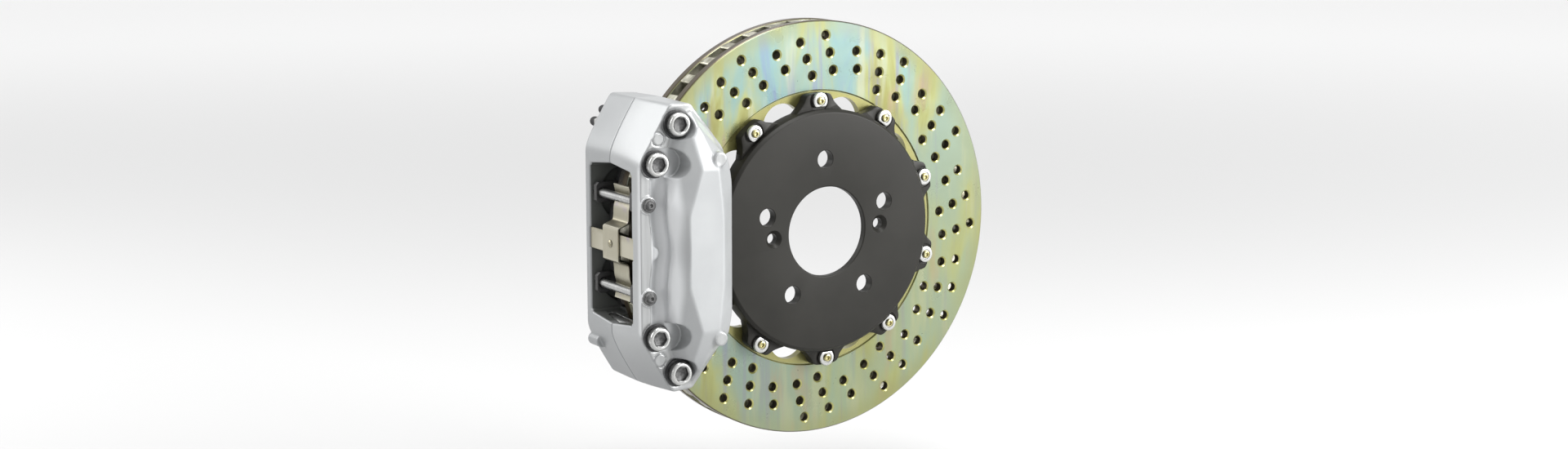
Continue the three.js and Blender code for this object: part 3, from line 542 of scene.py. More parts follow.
def fit(piece, body, node):
    """The piece stands for a CAD node and moves with its body; the CAD node is hidden."""
    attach(piece, body)
    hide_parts(node)
    return piece


def combined(meshes, name):
    """Several meshes in one, with nothing merged. The materials' numbers are kept."""
    work = bmesh.new()
    for mesh in meshes:
        work.from_mesh(mesh)
        bpy.data.meshes.remove(mesh)
    whole = bpy.data.meshes.new(name)
    work.to_mesh(whole)
    work.free()
    return whole


def carve(base, tool, operation):
    """A boolean of two meshes. The tool is used up."""
    first = bpy.data.objects.new("carve_base", base)
    second = bpy.data.objects.new("carve_tool", tool)
    for thing in (first, second):
        bpy.context.scene.collection.objects.link(thing)
    modifier = first.modifiers.new("carve", "BOOLEAN")
    modifier.operation = operation
    modifier.solver = "MANIFOLD"
    modifier.object = second
    graph = bpy.context.evaluated_depsgraph_get()
    result = bpy.data.meshes.new_from_object(first.evaluated_get(graph))
    for thing in (first, second):
        bpy.data.objects.remove(thing)
    bpy.data.meshes.remove(tool)
    return result


def paint_faces(mesh, chooser):
    """Gives each face the material number that chooser says for its centre and normal."""
    centres = np.zeros(len(mesh.polygons) * 3)
    normals = np.zeros(len(mesh.polygons) * 3)
    mesh.polygons.foreach_get("center", centres)
    mesh.polygons.foreach_get("normal", normals)
    numbers = chooser(centres.reshape(-1, 3) / MM, normals.reshape(-1, 3))
    mesh.polygons.foreach_set("material_index", numbers.astype(np.int32))


def plate(name, outlines, low, high, bevel, steps=1):
    """A plate between two y, from closed XZ outlines: the first is its edge, the rest holes.

    The outlines are drawn where the bevel ends on the faces.
    """
    curve = bpy.data.curves.new(name, "CURVE")
    curve.dimensions = "2D"
    curve.fill_mode = "BOTH"
    curve.bevel_depth = bevel * MM
    curve.bevel_resolution = steps - 1
    curve.extrude = ((high - low) / 2 - bevel) * MM
    for outline in outlines:
        spline = curve.splines.new("POLY")
        spline.points.add(len(outline) - 1)
        for point, (x, z) in zip(spline.points, outline):
            point.co = (x * MM, -z * MM, 0, 1)
        spline.use_cyclic_u = True
    flat = bpy.data.objects.new(name, curve)
    bpy.context.scene.collection.objects.link(flat)
    graph = bpy.context.evaluated_depsgraph_get()
    mesh = bpy.data.meshes.new_from_object(flat.evaluated_get(graph))
    bpy.data.objects.remove(flat)
    bpy.data.curves.remove(curve)
    stand_up = Matrix.Rotation(-math.pi / 2, 4, "X")
    mesh.transform(Matrix.Translation((0, (low + high) / 2 * MM, 0)) @ stand_up)
    clean(mesh)
    return mesh


def polar(radius, degrees):
    """A point round the disc's axis; angles turn from +Z towards +X."""
    turn = math.radians(degrees)
    return radius * math.sin(turn), radius * math.cos(turn)


def turned_outline(outline, degrees):
    """An (across, outwards) outline turned to an angle round the disc's axis."""
    turn = math.radians(degrees)
    cosine, sine = math.cos(turn), math.sin(turn)
    return [(a * cosine + o * sine, -a * sine + o * cosine) for a, o in outline]


def smooth_line(points, steps):
    """A Catmull-Rom curve through the points, from the first to the last."""
    points = [np.array(point, float) for point in points]
    final = len(points) - 1
    made = []
    for index in range(final):
        a, b, c, d = (points[min(max(index + shift, 0), final)] for shift in (-1, 0, 1, 2))
        for share in np.arange(steps) / steps:
            made.append(0.5 * (
                2 * b + (c - a) * share + (2 * a - 5 * b + 4 * c - d) * share ** 2
                + (3 * b - a - 3 * c + d) * share ** 3
            ))
    made.append(points[-1])
    return [tuple(point) for point in made]


# ------------------------------------------------------------ disc ring
RING_INNER = 109.0
PLATE = 7.5
VANES = 48
VANE_HALF = 1.9
VANE_LEAN = -0.33
VANE_NECK = 13.0  # how far inside the rim a vane starts to widen
VANE_FLARE = 4.4  # half its width at the rim
DRILL_RADIUS = 3.5
DRILL_CHAMFER = 1.0
DRILL_ROWS = [(3.65, 152.3, 3), (15.65, 143.2, 2), (24.66, 147.8, 3)]  # degrees, radius, count
DRILL_STEP = (2.0, -13.5)  # degrees and radius from one hole of a row to the next
SECTORS = 12
BOBBINS = 10
BOBBIN_START = -1.8
BOBBIN_CIRCLE = 102.5
BOBBIN_BORE = 4.8
LUG = (RING_FRONT + 1, RING_FRONT + 7.5)
LUG_TIP = 96.8
SCALLOP_CIRCLE, SCALLOP_RADIUS = 88.0, 18.0
DRILL_SIDES = 28


def drill_places():
    for sector in range(SECTORS):
        for degrees, radius, count in DRILL_ROWS:
            for number in range(count):
                turn = degrees + number * DRILL_STEP[0] + sector * 360 / SECTORS
                yield polar(radius + number * DRILL_STEP[1], turn)


def friction_plate(low, high):
    wide = DRILL_RADIUS + DRILL_CHAMFER
    holes = [circle(wide, DRILL_SIDES, *place) for place in drill_places()]
    outlines = [
        circle(RING_RADIUS - DRILL_CHAMFER, 288),
        circle(RING_INNER + DRILL_CHAMFER, 216),
        *holes,
    ]
    return plate("friction_plate", outlines, low, high, DRILL_CHAMFER)


def vane_mesh(number):
    """One leaning vane, round inside and flared at the rim, standing between the plates."""
    inner, outer = RING_INNER + 1.2, RING_RADIUS - 1.0
    run = (outer - inner) * VANE_LEAN
    outline = []
    for turn in np.linspace(0, math.pi, 9):
        across, along = VANE_HALF * math.cos(turn), VANE_HALF * (1 - math.sin(turn))
        outline.append((-run / 2 - across, inner + along))
    tip, neck = run / 2, run / 2 - VANE_NECK * VANE_LEAN
    right = [
        (neck + VANE_HALF, outer - VANE_NECK), (tip + VANE_FLARE - 0.5, outer - 3),
        (tip + VANE_FLARE, outer - 0.8), (tip + VANE_FLARE - 0.8, outer),
    ]
    left = [
        (tip - VANE_FLARE + 0.8, outer), (tip - VANE_FLARE, outer - 0.8),
        (tip - VANE_FLARE + 0.5, outer - 3), (neck - VANE_HALF, outer - VANE_NECK),
    ]
    outline += right + left
    outline = turned_outline(outline, number * 360 / VANES)
    low, high = RING_FRONT + PLATE - 0.4, RING_BACK - PLATE + 0.4
    return mesh_from("vane", *loft([at_height(outline, low), at_height(outline, high)]), smooth=False)


def lug_flange():
    """The inner flange that the bobbins drive, with a scallop between each two lugs."""
    low, high = LUG
    inner, outer = LUG_TIP, RING_INNER + 1.5
    ring = turned("lug_flange", [
        (inner, low + 0.5), (inner + 0.5, low), (outer, low),
        (outer, high), (inner + 0.5, high), (inner, high - 0.5),
    ], count=240, looped=True)
    cutters = []
    for number in range(BOBBINS):
        lug = BOBBIN_START + number * 360 / BOBBINS
        gap = polar(SCALLOP_CIRCLE, lug + 180 / BOBBINS)
        for name, radius, place, count in (
            ("scallop", SCALLOP_RADIUS, gap, 72),
            ("bobbin_bore", BOBBIN_BORE, polar(BOBBIN_CIRCLE, lug), 32),
        ):
            cutters.append(turned(name, [(radius, low - 1), (radius, high + 1)], place, count))
    return carve(ring, combined(cutters, "scallops"), "DIFFERENCE")


def choose_ring_finish(centres, normals):
    """Faces and rim edges are plated; chamfers gold; walls darkened with painted shade; the cast core its
    own.
    """
    radius = np.hypot(centres[:, 0], centres[:, 2])
    flat = np.abs(normals[:, 1])
    numbers = np.zeros(len(centres), int)
    y = centres[:, 1]
    in_plates = (y < RING_FRONT + PLATE - 0.01) | (y > RING_BACK - PLATE + 0.01)
    chamfer = (flat > 0.3) & (flat < 0.97) & (radius < RING_RADIUS - 2)
    wall = (flat <= 0.3) & (radius < RING_RADIUS - 2) & (radius > RING_INNER + 1)
    numbers[in_plates & chamfer] = 2
    # the drilled walls take the yellow film darkened with painted shade
    numbers[wall & in_plates] = 1
    numbers[~in_plates] = 3
    return numbers


def disc_ring():
    core = combined([vane_mesh(number) for number in range(VANES)], "vanes")
    drill = [(DRILL_RADIUS, RING_FRONT + 1), (DRILL_RADIUS, RING_BACK - 1)]
    drills = [turned("drill", drill, place, DRILL_SIDES) for place in drill_places()]
    core = carve(core, combined(drills, "drills"), "DIFFERENCE")
    core = carve(core, friction_plate(RING_FRONT, RING_FRONT + PLATE), "UNION")
    core = carve(core, friction_plate(RING_BACK - PLATE, RING_BACK), "UNION")
    ring = carve(core, lug_flange(), "UNION")
    paint_faces(ring, choose_ring_finish)
    shade(ring)
    piece = add_object("ring", ring, "zinc_plate", "hole_wall_shade", "chamfer_gold", "vane_zinc")
    fit(piece, "friction_ring", "disc_ring")


# ------------------------------------------------------------ hat
HAT_FACE = HAT_LOW.y
HAT_RADIUS = 96.0
EAR_FRONT = -0.5
EAR_PAD = 0.9  # how far an ear's skin stands above the spot face under its bobbin
EAR_BACK = HAT_HIGH.y
SPOT_RADIUS = 8.6
STUD_CIRCLE = 57.15
STUD_RADIUS = 7.05
STUDS = 5
STUD_START = -1.9
SCREW_CIRCLE = 49.4
SCREW_DEGREES = (88, 268)


def ear_mesh(degrees):
    """An ear with hollow flanks and a softened front edge."""
    half = smooth_line([
        (-24.0, 91.0), (-19.6, 95.2), (-16.6, 98.2), (-13.9, 101.4),
        (-12.4, 104.4), (-10.4, 107.0), (-6.5, 108.0), (0.0, 108.2),
    ], 6)
    outline = half + [(-across, out) for across, out in reversed(half[:-1])]
    outline += [(20.0, 86.0), (-20.0, 86.0)]
    centre = np.array([0.0, 98.0])
    front = EAR_FRONT - EAR_PAD
    levels = [(front, 0.8), (front + 0.25, 0.25), (front + 0.8, 0), (EAR_BACK - 0.4, 0), (EAR_BACK, 0.4)]
    rings = []
    for y, inset in levels:
        shrunk = []
        for point in outline:
            away = np.array(point) - centre
            shrunk.append(tuple(centre + away * (1 - inset / np.linalg.norm(away))))
        rings.append(at_height(turned_outline(shrunk, degrees), y))
    return mesh_from("ear", *loft(rings), smooth=False)


def hat_bell():
    """The bell turned from one blank, closed at the bore."""
    profile = rounded_profile([
        (35.4, HAT_FACE + 0.6), (36.0, HAT_FACE), (93.6, HAT_FACE), (HAT_RADIUS, HAT_FACE + 2.4),
        (HAT_RADIUS, EAR_BACK - 0.5), (95.5, EAR_BACK), (88.5, EAR_BACK), (88, EAR_BACK - 0.5),
        (86, 0), (38, 0), (37.5, -0.5), (37.5, HAT_FACE + 5.5), (35.4, HAT_FACE + 5.5),
    ], radius=0.5, steps=3)
    return turned("hat_bell", profile, count=288, looped=True)


def chamfered_drill(radius, low, high, place, chamfer, count=48):
    return turned("drill", [
        (radius + chamfer + 1, low - 1), (radius, low + chamfer),
        (radius, high - chamfer), (radius + chamfer + 1, high + 1),
    ], place, count)


def disc_hat():
    bell = hat_bell()
    degrees = [BOBBIN_START + number * 360 / BOBBINS for number in range(BOBBINS)]
    bell = carve(bell, combined([ear_mesh(turn) for turn in degrees], "ears"), "UNION")
    spots = []
    for turn in degrees:
        place = polar(BOBBIN_CIRCLE, turn)
        spots.append(turned("spot", rounded_profile([
            (BOBBIN_BORE, EAR_BACK + 1), (BOBBIN_BORE, EAR_FRONT), (SPOT_RADIUS, EAR_FRONT),
            (SPOT_RADIUS + 0.3, EAR_FRONT - 3.4),
        ], 0.4, 3), place, 56))
    bell = carve(bell, combined(spots, "spots"), "DIFFERENCE")
    holes = []
    for number in range(STUDS):
        place = polar(STUD_CIRCLE, STUD_START + 360 / STUDS * number)
        holes.append(chamfered_drill(STUD_RADIUS, HAT_FACE, 0, place, 0.4))
    for turn in SCREW_DEGREES:
        sink = [(9.6, HAT_FACE - 2.5), (4.25, HAT_FACE + 2.85), (4.25, 1)]
        holes.append(turned("sink", sink, polar(SCREW_CIRCLE, turn), 48))
    bell = carve(bell, combined(holes, "holes"), "DIFFERENCE")
    shade(bell)
    fit(add_object("hat", bell, "hat_black"), "disc_hub", "disc_hat")


# ------------------------------------------------------------ bobbins and their screws
BOBBIN_HEAD = 6.5
BOBBIN_FLAT = 4.8
BOBBIN_TOP = box_mm("drive_bobbin_1")[0].y
RIVET_TOP = box_mm("bobbin_rivet_1")[0].y


def d_outline(radius, flat, count=64):
    """A circle cut flat on the side towards the disc's centre."""
    return [(a, max(o, -flat)) for a, o in circle(radius, count)]


def bobbin_mesh():
    """A bobbin at the top of the disc: D head with a soft rim, ring groove and shank."""
    under, tip = EAR_FRONT - 0.3, LUG[1] + 0.6
    rim = [(0.3, under), (0, under - 0.3), (0, BOBBIN_TOP + 0.6), (0.2, BOBBIN_TOP + 0.2), (0.6, BOBBIN_TOP)]
    levels = [
        (2.7, 2.7, tip), (4.5, 4.5, tip), (4.6, 4.6, tip - 0.5), (4.6, 4.6, under),
        *[(BOBBIN_HEAD - inset, BOBBIN_FLAT - inset, y) for inset, y in rim],
        (4.2, 4.2, BOBBIN_TOP), (3.9, 3.9, BOBBIN_TOP + 0.5), (3.0, 3.0, BOBBIN_TOP + 0.5),
        (2.7, 2.7, BOBBIN_TOP + 0.8),
    ]
    rings = []
    for radius, flat, y in levels:
        outline = [(a, BOBBIN_CIRCLE + o) for a, o in d_outline(radius, flat)]
        rings.append(at_height(outline, y))
    return mesh_from("bobbin", *loft(rings, looped=True))


def star_outline(radius, count):
    """A six-lobed drive recess."""
    turns = np.arange(count) * 2 * math.pi / count
    reach = radius * (1 + 0.12 * np.cos(6 * turns))
    return [(r * math.cos(t), r * math.sin(t)) for r, t in zip(reach, turns)]


def bobbin_screw_mesh():
    """The gold screw through a bobbin, with a drive recess, and its broad flange behind."""
    count = 48
    back = LUG[1] + 0.9
    levels = [
        (POINT, back + 2.0), (5.6, back + 2.0), (6.4, back + 1.3), (6.4, back + 0.3), (6.1, back),
        (2.3, back), (2.3, BOBBIN_TOP + 0.2), (2.9, BOBBIN_TOP + 0.2), (3.1, BOBBIN_TOP - 0.4),
        (2.7, RIVET_TOP + 0.2), (2.2, RIVET_TOP),
    ]
    rings = [at_height(circle(r, count, 0, BOBBIN_CIRCLE), y) for r, y in levels]
    for radius, y in ((1.6, RIVET_TOP), (1.5, RIVET_TOP + 1.4), (0.4, RIVET_TOP + 1.6)):
        lobes = [(a, BOBBIN_CIRCLE + o) for a, o in star_outline(radius, count)]
        rings.append(at_height(lobes, y))
    return mesh_from("bobbin_screw", *loft(rings))


def bobbins():
    """Ten bobbins and screws, each mesh made once and turned round the axis."""
    bobbin, screw = bobbin_mesh(), bobbin_screw_mesh()
    for number in range(BOBBINS):
        turn = Matrix.Rotation(math.radians(BOBBIN_START + number * 360 / BOBBINS), 4, "Y")
        for mesh, name, finish, node in (
            (bobbin, "bobbin", "bright_steel", "drive_bobbin"),
            (screw, "bobbin_screw", "rivet_gold", "bobbin_rivet"),
        ):
            piece = add_object(f"{name}_{number + 1}", mesh, finish)
            piece.matrix_world = turn
            fit(piece, "disc_hub", f"{node}_{number + 1}")


# ------------------------------------------------------------ caliper castings
# A casting is a field: below 0 inside the metal, in millimetres. Shapes are joined and
# cut with a rounding radius, so every edge is as soft as the casting's. Depths are
# measured from the joint face, heights from the caliper's middle.
def smooth_max(a, b, soft):
    blend = np.maximum(soft - np.abs(a - b), 0) / soft
    return np.maximum(a, b) + blend * blend * soft / 4


def join(a, b, soft=0.8):
    return -smooth_max(-a, -b, soft)


def cut(a, b, soft=0.8):
    return smooth_max(a, -b, soft)


def cylinder(x, z, depth, place, radius, low, high, soft=0.6):
    """A rod along the depth, at a place in the XZ plane."""
    round_side = np.hypot(x - place[0], z - place[1]) - radius
    ends = np.maximum(low - depth, depth - high)
    return smooth_max(round_side, ends, soft)


def rod_along_x(x, z, depth, at_depth, at_z, radius, low, high, soft=0.6):
    round_side = np.hypot(depth - at_depth, z - at_z) - radius
    return smooth_max(round_side, np.maximum(low - x, x - high), soft)


def drilled(field, at, places, radius, low, high, soft, edge=0.6):
    """Round holes along the depth at several places."""
    for place in places:
        field = cut(field, cylinder(*at, place, radius, low, high, edge), soft)
    return field


def raised(field, at, places, radius, low, high, soft, edge):
    """Round bosses along the depth at several places."""
    for place in places:
        field = join(field, cylinder(*at, place, radius, low, high, edge), soft)
    return field


def hull_planes(points):
    """The outward planes of a convex hull, as (normal, offset), near-copies merged."""
    work = bmesh.new()
    for point in points:
        work.verts.new(point)
    bmesh.ops.convex_hull(work, input=work.verts)
    middle = Vector(np.mean(points, axis=0))
    planes = []
    for face in work.faces:
        normal = face.normal.copy()
        offset = normal.dot(face.verts[0].co)
        if normal.dot(middle) > offset:
            normal, offset = -normal, -offset
        if all(normal.dot(other) < 0.9995 for other, _ in planes):
            planes.append((normal, offset))
    work.free()
    return planes


def upper_and_lower(points):
    return [(x, sign * z, depth) for x, z, depth in points for sign in (1, -1)]


FLAT = [(-134, 62), (-119.5, 61.5), (-115.5, 25), (-144.5, 29), (-146.5, 0)]
RIDGE = [(-151, 50), (-154.5, 38), (-154.5, 10), (-139, 90), (-131, 92), (-106, 66), (-103, 50)]
ROOT = [(-158, 50), (-158.5, 10), (-147, 99), (-131, 107), (-104, 74), (-99.5, 58)]
RIDGE_DEPTH = 58.0


def from_caliper(places):
    """XZ places measured from the caliper's middle height."""
    return [(x, z - CALIPER_Z) for x, z in places]


FAR = 90.0  # a depth past everything
BOLT_PLACES, PIN_PLACES, PORT_PLACES = from_caliper(BOLTS), from_caliper(PINS), from_caliper(PORTS)
PISTON_PLACES, BLEED_PLACES = from_caliper(PISTONS), from_caliper(BLEEDERS)
INLET_PLACES = from_caliper([INLET])
CORNER_BOSSES = [(-118, 68), (-118, -68)]
EDGE_BOSSES = [(-163.5, -2)]
PLUG_BOSS = (-169, -81)
BOLT_SEAT, BOLT_HOLE = 11.2, 6.4
POCKET_SHIFT, POCKET_RADIUS = 11, 10.9  # from a middle bolt towards the hub
PIN_HOLE = 3.8
PORT_HOLE, PORT_SEAL = 2.0, 5.0
CHANNEL_X, CHANNEL_DEPTH, CHANNEL_RADIUS, CHANNEL_HALF = -160.8, 49.0, 6.2, 62
LUG_DEPTH, LUG_HEIGHT, LUG_RADIUS, LUG_HOLE = 52, 65, 13, 6.25
HUB_SIDE_X = -99.5
DISC_SLOT_RADIUS, DISC_SLOT_HALF = 166.6, 16.5
BOBBIN_SWEEP = 112  # room for the bobbins' heads as they pass
PAD_BAY_HALF, PAD_BAY_DEPTH = 56, 33
RELIEF_SHIFT, RELIEF_RADIUS, RELIEF_DEPTH = 24, 21, 36  # beside each pad pin
WINDOW_HALF_LENGTH, WINDOW_HALF_WIDTH = 61.5, 31
STRAP_HALF, STRAP_FLOOR, STRAP_REACH = 8.3, 2.8, 34.3


def facet_planes(root_depth):
    points = [(x, z, BODY) for x, z in FLAT]
    points += [(x, z, RIDGE_DEPTH) for x, z in RIDGE]
    points += [(x, z, root_depth) for x, z in ROOT]
    return hull_planes(upper_and_lower(points))


def outline_field(x, height, depth, slope):
    """The housing seen along Y. Its bridge falls away from the joint like a roof."""
    side = SIDE_X - x
    roof = -0.856 * x + 0.517 * height - 188.6 + slope * depth  # unit normal, then its distance
    shoulder = np.hypot(x, height) - 188.4
    top = 0.06 * x + height - 101.8 + 0.03 * depth
    corner = 0.783 * x + 0.622 * height + 35.4
    hub_side = 0.963 * x + 0.271 * height + 80.1
    field = smooth_max(side, roof, 3.0)
    field = smooth_max(field, shoulder, 2.0)
    field = smooth_max(field, top, 3.0)
    field = smooth_max(field, corner, 1.6)
    field = smooth_max(field, hub_side, 1.6)
    return smooth_max(field, x - HUB_SIDE_X, 1.2)


def wave(z):
    """How far the ridge swings towards the hub, between the two pistons."""
    return 3.4 * np.exp(-(z / 15) ** 2) - 0.8 * np.exp(-((np.abs(z) - 30) / 12) ** 2)


def window_field(x, height, depth):
    """The window over the pads: six-sided, open to the rim."""
    away = np.abs(depth)
    ends = height - WINDOW_HALF_LENGTH + 3.5 * away / WINDOW_HALF_WIDTH
    field = smooth_max(ends, away - WINDOW_HALF_WIDTH, 1.0)
    return np.maximum(field, x + 150)


def shared_cuts(field, at, sweep_depth):
    """What both halves lose: room for the disc, the bobbins, the pads and the bores."""
    x, z, depth = at
    height, radius = np.abs(z), np.hypot(x, z + CALIPER_Z)
    field = cut(field, np.maximum(radius - DISC_SLOT_RADIUS, depth - DISC_SLOT_HALF), 1.0)
    field = cut(field, np.maximum(radius - BOBBIN_SWEEP, depth - sweep_depth), 1.0)
    field = cut(field, np.maximum(height - PAD_BAY_HALF, depth - PAD_BAY_DEPTH), 0.8)
    field = cut(field, window_field(x, height, depth), 1.2)
    for pin_x, pin_z in PIN_PLACES:
        relief = np.hypot(x - pin_x - RELIEF_SHIFT, z - pin_z * 0.92) - RELIEF_RADIUS
        field = cut(field, np.maximum(relief, depth - RELIEF_DEPTH), 1.2)
    field = drilled(field, at, PISTON_PLACES, 18.1, 30, 57, 0.5)  # bore
    field = drilled(field, at, PISTON_PLACES, 21.6, 30, 36, 0.5)  # dust boot's seat
    return drilled(field, at, PISTON_PLACES, 20.8, 37, 40.6, 0.3)  # seal's groove


def strap_notch(x, z, depth):
    """The seat of the cross strap in the window's edges."""
    notch = np.maximum(np.abs(z) - STRAP_HALF, x - SIDE_X - STRAP_FLOOR)
    return np.maximum(notch, depth - STRAP_REACH)


def facet_field(planes, x, z, depth, soft):
    """A convex body, its planes blended where they meet."""
    field = None
    for normal, offset in planes:
        plane = x * normal.x + z * normal.y + depth * normal.z - offset
        field = plane if field is None else smooth_max(field, plane, soft)
    return field


def outboard_field(x, y, z):
    """The wheel-side half: flange, wavy channel, ridge and long flat."""
    depth, z = JOINT_Y - y, z - CALIPER_Z
    at, height = (x, z, depth), np.abs(z)
    housing = smooth_max(outline_field(x, height, depth, 0.10), depth - FLANGE, 1.0)
    near_ridge = np.clip((-140 - x) / 10, 0, 1)
    facets = facet_field(OUTBOARD_PLANES, x - wave(z) * near_ridge, z, depth, 0.7)
    field = join(housing, facets, 2.0)
    field = raised(field, at, CORNER_BOSSES, 5.5, FLANGE - 4, BODY - 0.5, 1.6, 1.0)
    across = x - (CHANNEL_X + 0.7 * wave(z))
    channel = np.hypot(across, depth - CHANNEL_DEPTH) - CHANNEL_RADIUS
    field = cut(field, smooth_max(channel, height - CHANNEL_HALF, 3.0), 1.2)
    field = raised(field, at, EDGE_BOSSES, 5.0, FLANGE - 6, FLANGE - 0.8, 1.0, 0.8)
    field = drilled(field, at, BOLT_PLACES, BOLT_SEAT, FLANGE - 0.4, FAR, 0.8)
    pockets = [(bolt_x + POCKET_SHIFT, bolt_z) for bolt_x, bolt_z in BOLT_PLACES if abs(bolt_z) < 80]
    field = drilled(field, at, pockets, POCKET_RADIUS, FLANGE, FAR, 0.8)
    field = drilled(field, at, PORT_PLACES, 5.5, FLANGE - 0.6, 60, 0.3, 0.3)
    field = raised(field, at, PORT_PLACES, 4.8, FLANGE - 4, FLANGE + 0.5, 0.3, 0.6)
    field = raised(field, at, PIN_PLACES, 6.5, FLANGE - 6, FLANGE + 0.9, 1.0, 0.8)
    field = shared_cuts(field, at, 36)
    field = cut(field, strap_notch(x, z, depth), 0.4)
    field = drilled(field, at, BOLT_PLACES, BOLT_HOLE, -5, 60, 0.4)
    field = drilled(field, at, PIN_PLACES, PIN_HOLE, -5, 60, 0.4)
    field = drilled(field, at, PORT_PLACES, PORT_HOLE, -5, 30, 0.3)
    field = drilled(field, at, PORT_PLACES, PORT_SEAL, -5, 2, 0.3)
    return smooth_max(field, -depth, 0.8)


def inboard_field(x, y, z):
    """The car-side half: same bridge, with the mounting lugs, inlet and bleed ports."""
    depth, z = y - JOINT_Y, z - CALIPER_Z
    at = (x, z, depth)
    housing = outline_field(x, np.abs(z), depth, 0.02)
    housing = smooth_max(housing, depth - INNER_FLANGE, 1.2)
    field = join(housing, facet_field(INBOARD_PLANES, x, z, depth, 1.4), 3.0)
    for height in (LUG_HEIGHT, -LUG_HEIGHT):
        lug = rod_along_x(*at, LUG_DEPTH, height, LUG_RADIUS, -140, HUB_SIDE_X, 1.2)
        field = join(field, lug, 5.0)
    field = raised(field, at, INLET_PLACES, 9, INNER_FLANGE - 2, 58, 3.0, 1.0)
    field = raised(field, at, [PLUG_BOSS], 5, 26, 41.5, 1.5, 1.0)
    field = shared_cuts(field, at, 18)
    field = cut(field, strap_notch(x, z, depth), 0.4)
    field = drilled(field, at, BOLT_PLACES, BOLT_HOLE, -5, 28, 0.4)
    field = drilled(field, at, PIN_PLACES, PIN_HOLE, -5, 37, 0.4)
    field = drilled(field, at, PORT_PLACES, PORT_HOLE, -5, 30, 0.3)
    field = drilled(field, at, BLEED_PLACES, 3.6, 29.5, 60, 0.5)
    field = drilled(field, at, INLET_PLACES, 5.2, 42, 60, 0.6)
    for height in (LUG_HEIGHT, -LUG_HEIGHT):
        field = cut(field, rod_along_x(*at, LUG_DEPTH, height, LUG_HOLE, -175, -90), 0.8)
    return smooth_max(field, -depth, 0.8)


OUTBOARD_PLANES = facet_planes(FLANGE - 4)
INBOARD_PLANES = facet_planes(INNER_FLANGE - 4)


def crossings(values, step_axis):
    """Grid edges along one axis where the field changes sign: their lower ends and shares."""
    ahead = np.moveaxis(values, step_axis, 0)
    a, b = ahead[:-1], ahead[1:]
    found = np.argwhere((a < 0) != (b < 0))
    first = a[tuple(found.T)]
    second = b[tuple(found.T)]
    places = np.empty_like(found)
    places[:, step_axis] = found[:, 0]
    others = [axis for axis in range(3) if axis != step_axis]
    places[:, others[0]] = found[:, 1]
    places[:, others[1]] = found[:, 2]
    return places, first / (first - second), first < 0


def surface_net(field, low, high, step):
    """Points and quads of the surface where a field is 0, from one point in each cell."""
    axes = [np.arange(a - 2 * step, b + 2.5 * step, step) for a, b in zip(low, high)]
    values = field(*np.meshgrid(*axes, indexing="ij"))
    shape = np.array(values.shape)
    total = int(shape.prod())
    sums, counts, quads = np.zeros((total, 3)), np.zeros(total), []
    strides = np.array([shape[1] * shape[2], shape[2], 1])
    for axis in range(3):
        places, share, falling = crossings(values, axis)
        points = places.astype(float)
        points[:, axis] += share
        u, v = (strides[other] for other in range(3) if other != axis)
        cell = places @ strides
        corners = [cell, cell - u, cell - u - v, cell - v]
        for corner in corners:
            counts += np.bincount(corner, minlength=total)
            for part in range(3):
                sums[:, part] += np.bincount(corner, points[:, part], minlength=total)
        ring = np.stack(corners, 1)
        turn_over = falling if axis != 1 else ~falling
        ring[turn_over] = ring[turn_over][:, ::-1]
        quads.append(ring)
    used = np.flatnonzero(counts)
    numbers = np.full(total, -1)
    numbers[used] = np.arange(len(used))
    points = sums[used] / counts[used, None] * step + [axis[0] for axis in axes]
    return settle(field, points), numbers[np.concatenate(quads)]


def settle(field, points, rounds=2, reach=0.02):
    """Moves points onto the field's surface along its slope."""
    for _ in range(rounds):
        here = field(*points.T)
        slope = np.empty_like(points)
        for axis in range(3):
            ahead, behind = points.copy(), points.copy()
            ahead[:, axis] += reach
            behind[:, axis] -= reach
            slope[:, axis] = (field(*ahead.T) - field(*behind.T)) / (2 * reach)
        square = np.maximum((slope ** 2).sum(1), 0.2)
        points = points - slope * np.clip(here / square, -0.4, 0.4)[:, None]
    return points


CAST_STEP = 0.9


def casting(name, field, low, high, node):
    points, quads = surface_net(field, low, high, CAST_STEP)
    mesh = bpy.data.meshes.new(name)
    points = np.clip(points, np.array(low), np.array(high))  # never outside the CAD's box
    mesh.from_pydata((points * MM).tolist(), [], quads.tolist())
    clean(mesh, merge=False)
    paint_faces(mesh, choose_cast_finish)
    mesh.polygons.foreach_set("use_smooth", np.ones(len(mesh.polygons), bool))
    piece = add_object(name, mesh, "caliper_silver", "machined_silver")
    fit(piece, "caliper", node)


def choose_cast_finish(centres, normals):
    """The outboard strip, corner bosses and port plugs are bare metal."""
    depth = JOINT_Y - centres[:, 1]
    x, z = centres[:, 0], centres[:, 2] - CALIPER_Z
    facing = normals[:, 1] < -0.85
    strip = facing & (depth > FLANGE - 0.3) & (depth < FLANGE + 1.3)
    strip &= (x < -165.5) | (np.abs(z) > 76)
    boss_x, boss_z = CORNER_BOSSES[0]
    near_boss = np.hypot(x - boss_x, np.abs(z) - boss_z) < 4.8
    boss = facing & near_boss & (depth > BODY - 1)
    return (strip | boss).astype(int)


def caliper_halves():
    casting("outboard_casting", outboard_field, OUT_LOW, OUT_HIGH, "caliper_outboard_half")
    casting("inboard_casting", inboard_field, IN_LOW, IN_HIGH, "caliper_inboard_half")


# ------------------------------------------------------------ bolts and washers
def hexagon(half_width, count, x, z, turn=0.0):
    """A hexagon sampled evenly by angle, so it lofts to a circle."""
    points = []
    for index in range(count):
        angle = index * 2 * math.pi / count
        local = (angle - turn + math.pi / 6) % (math.pi / 3) - math.pi / 6
        reach = half_width / math.cos(local)
        points.append((x + reach * math.cos(angle), z + reach * math.sin(angle)))
    return points


def outboard_y(depth):
    return JOINT_Y - depth


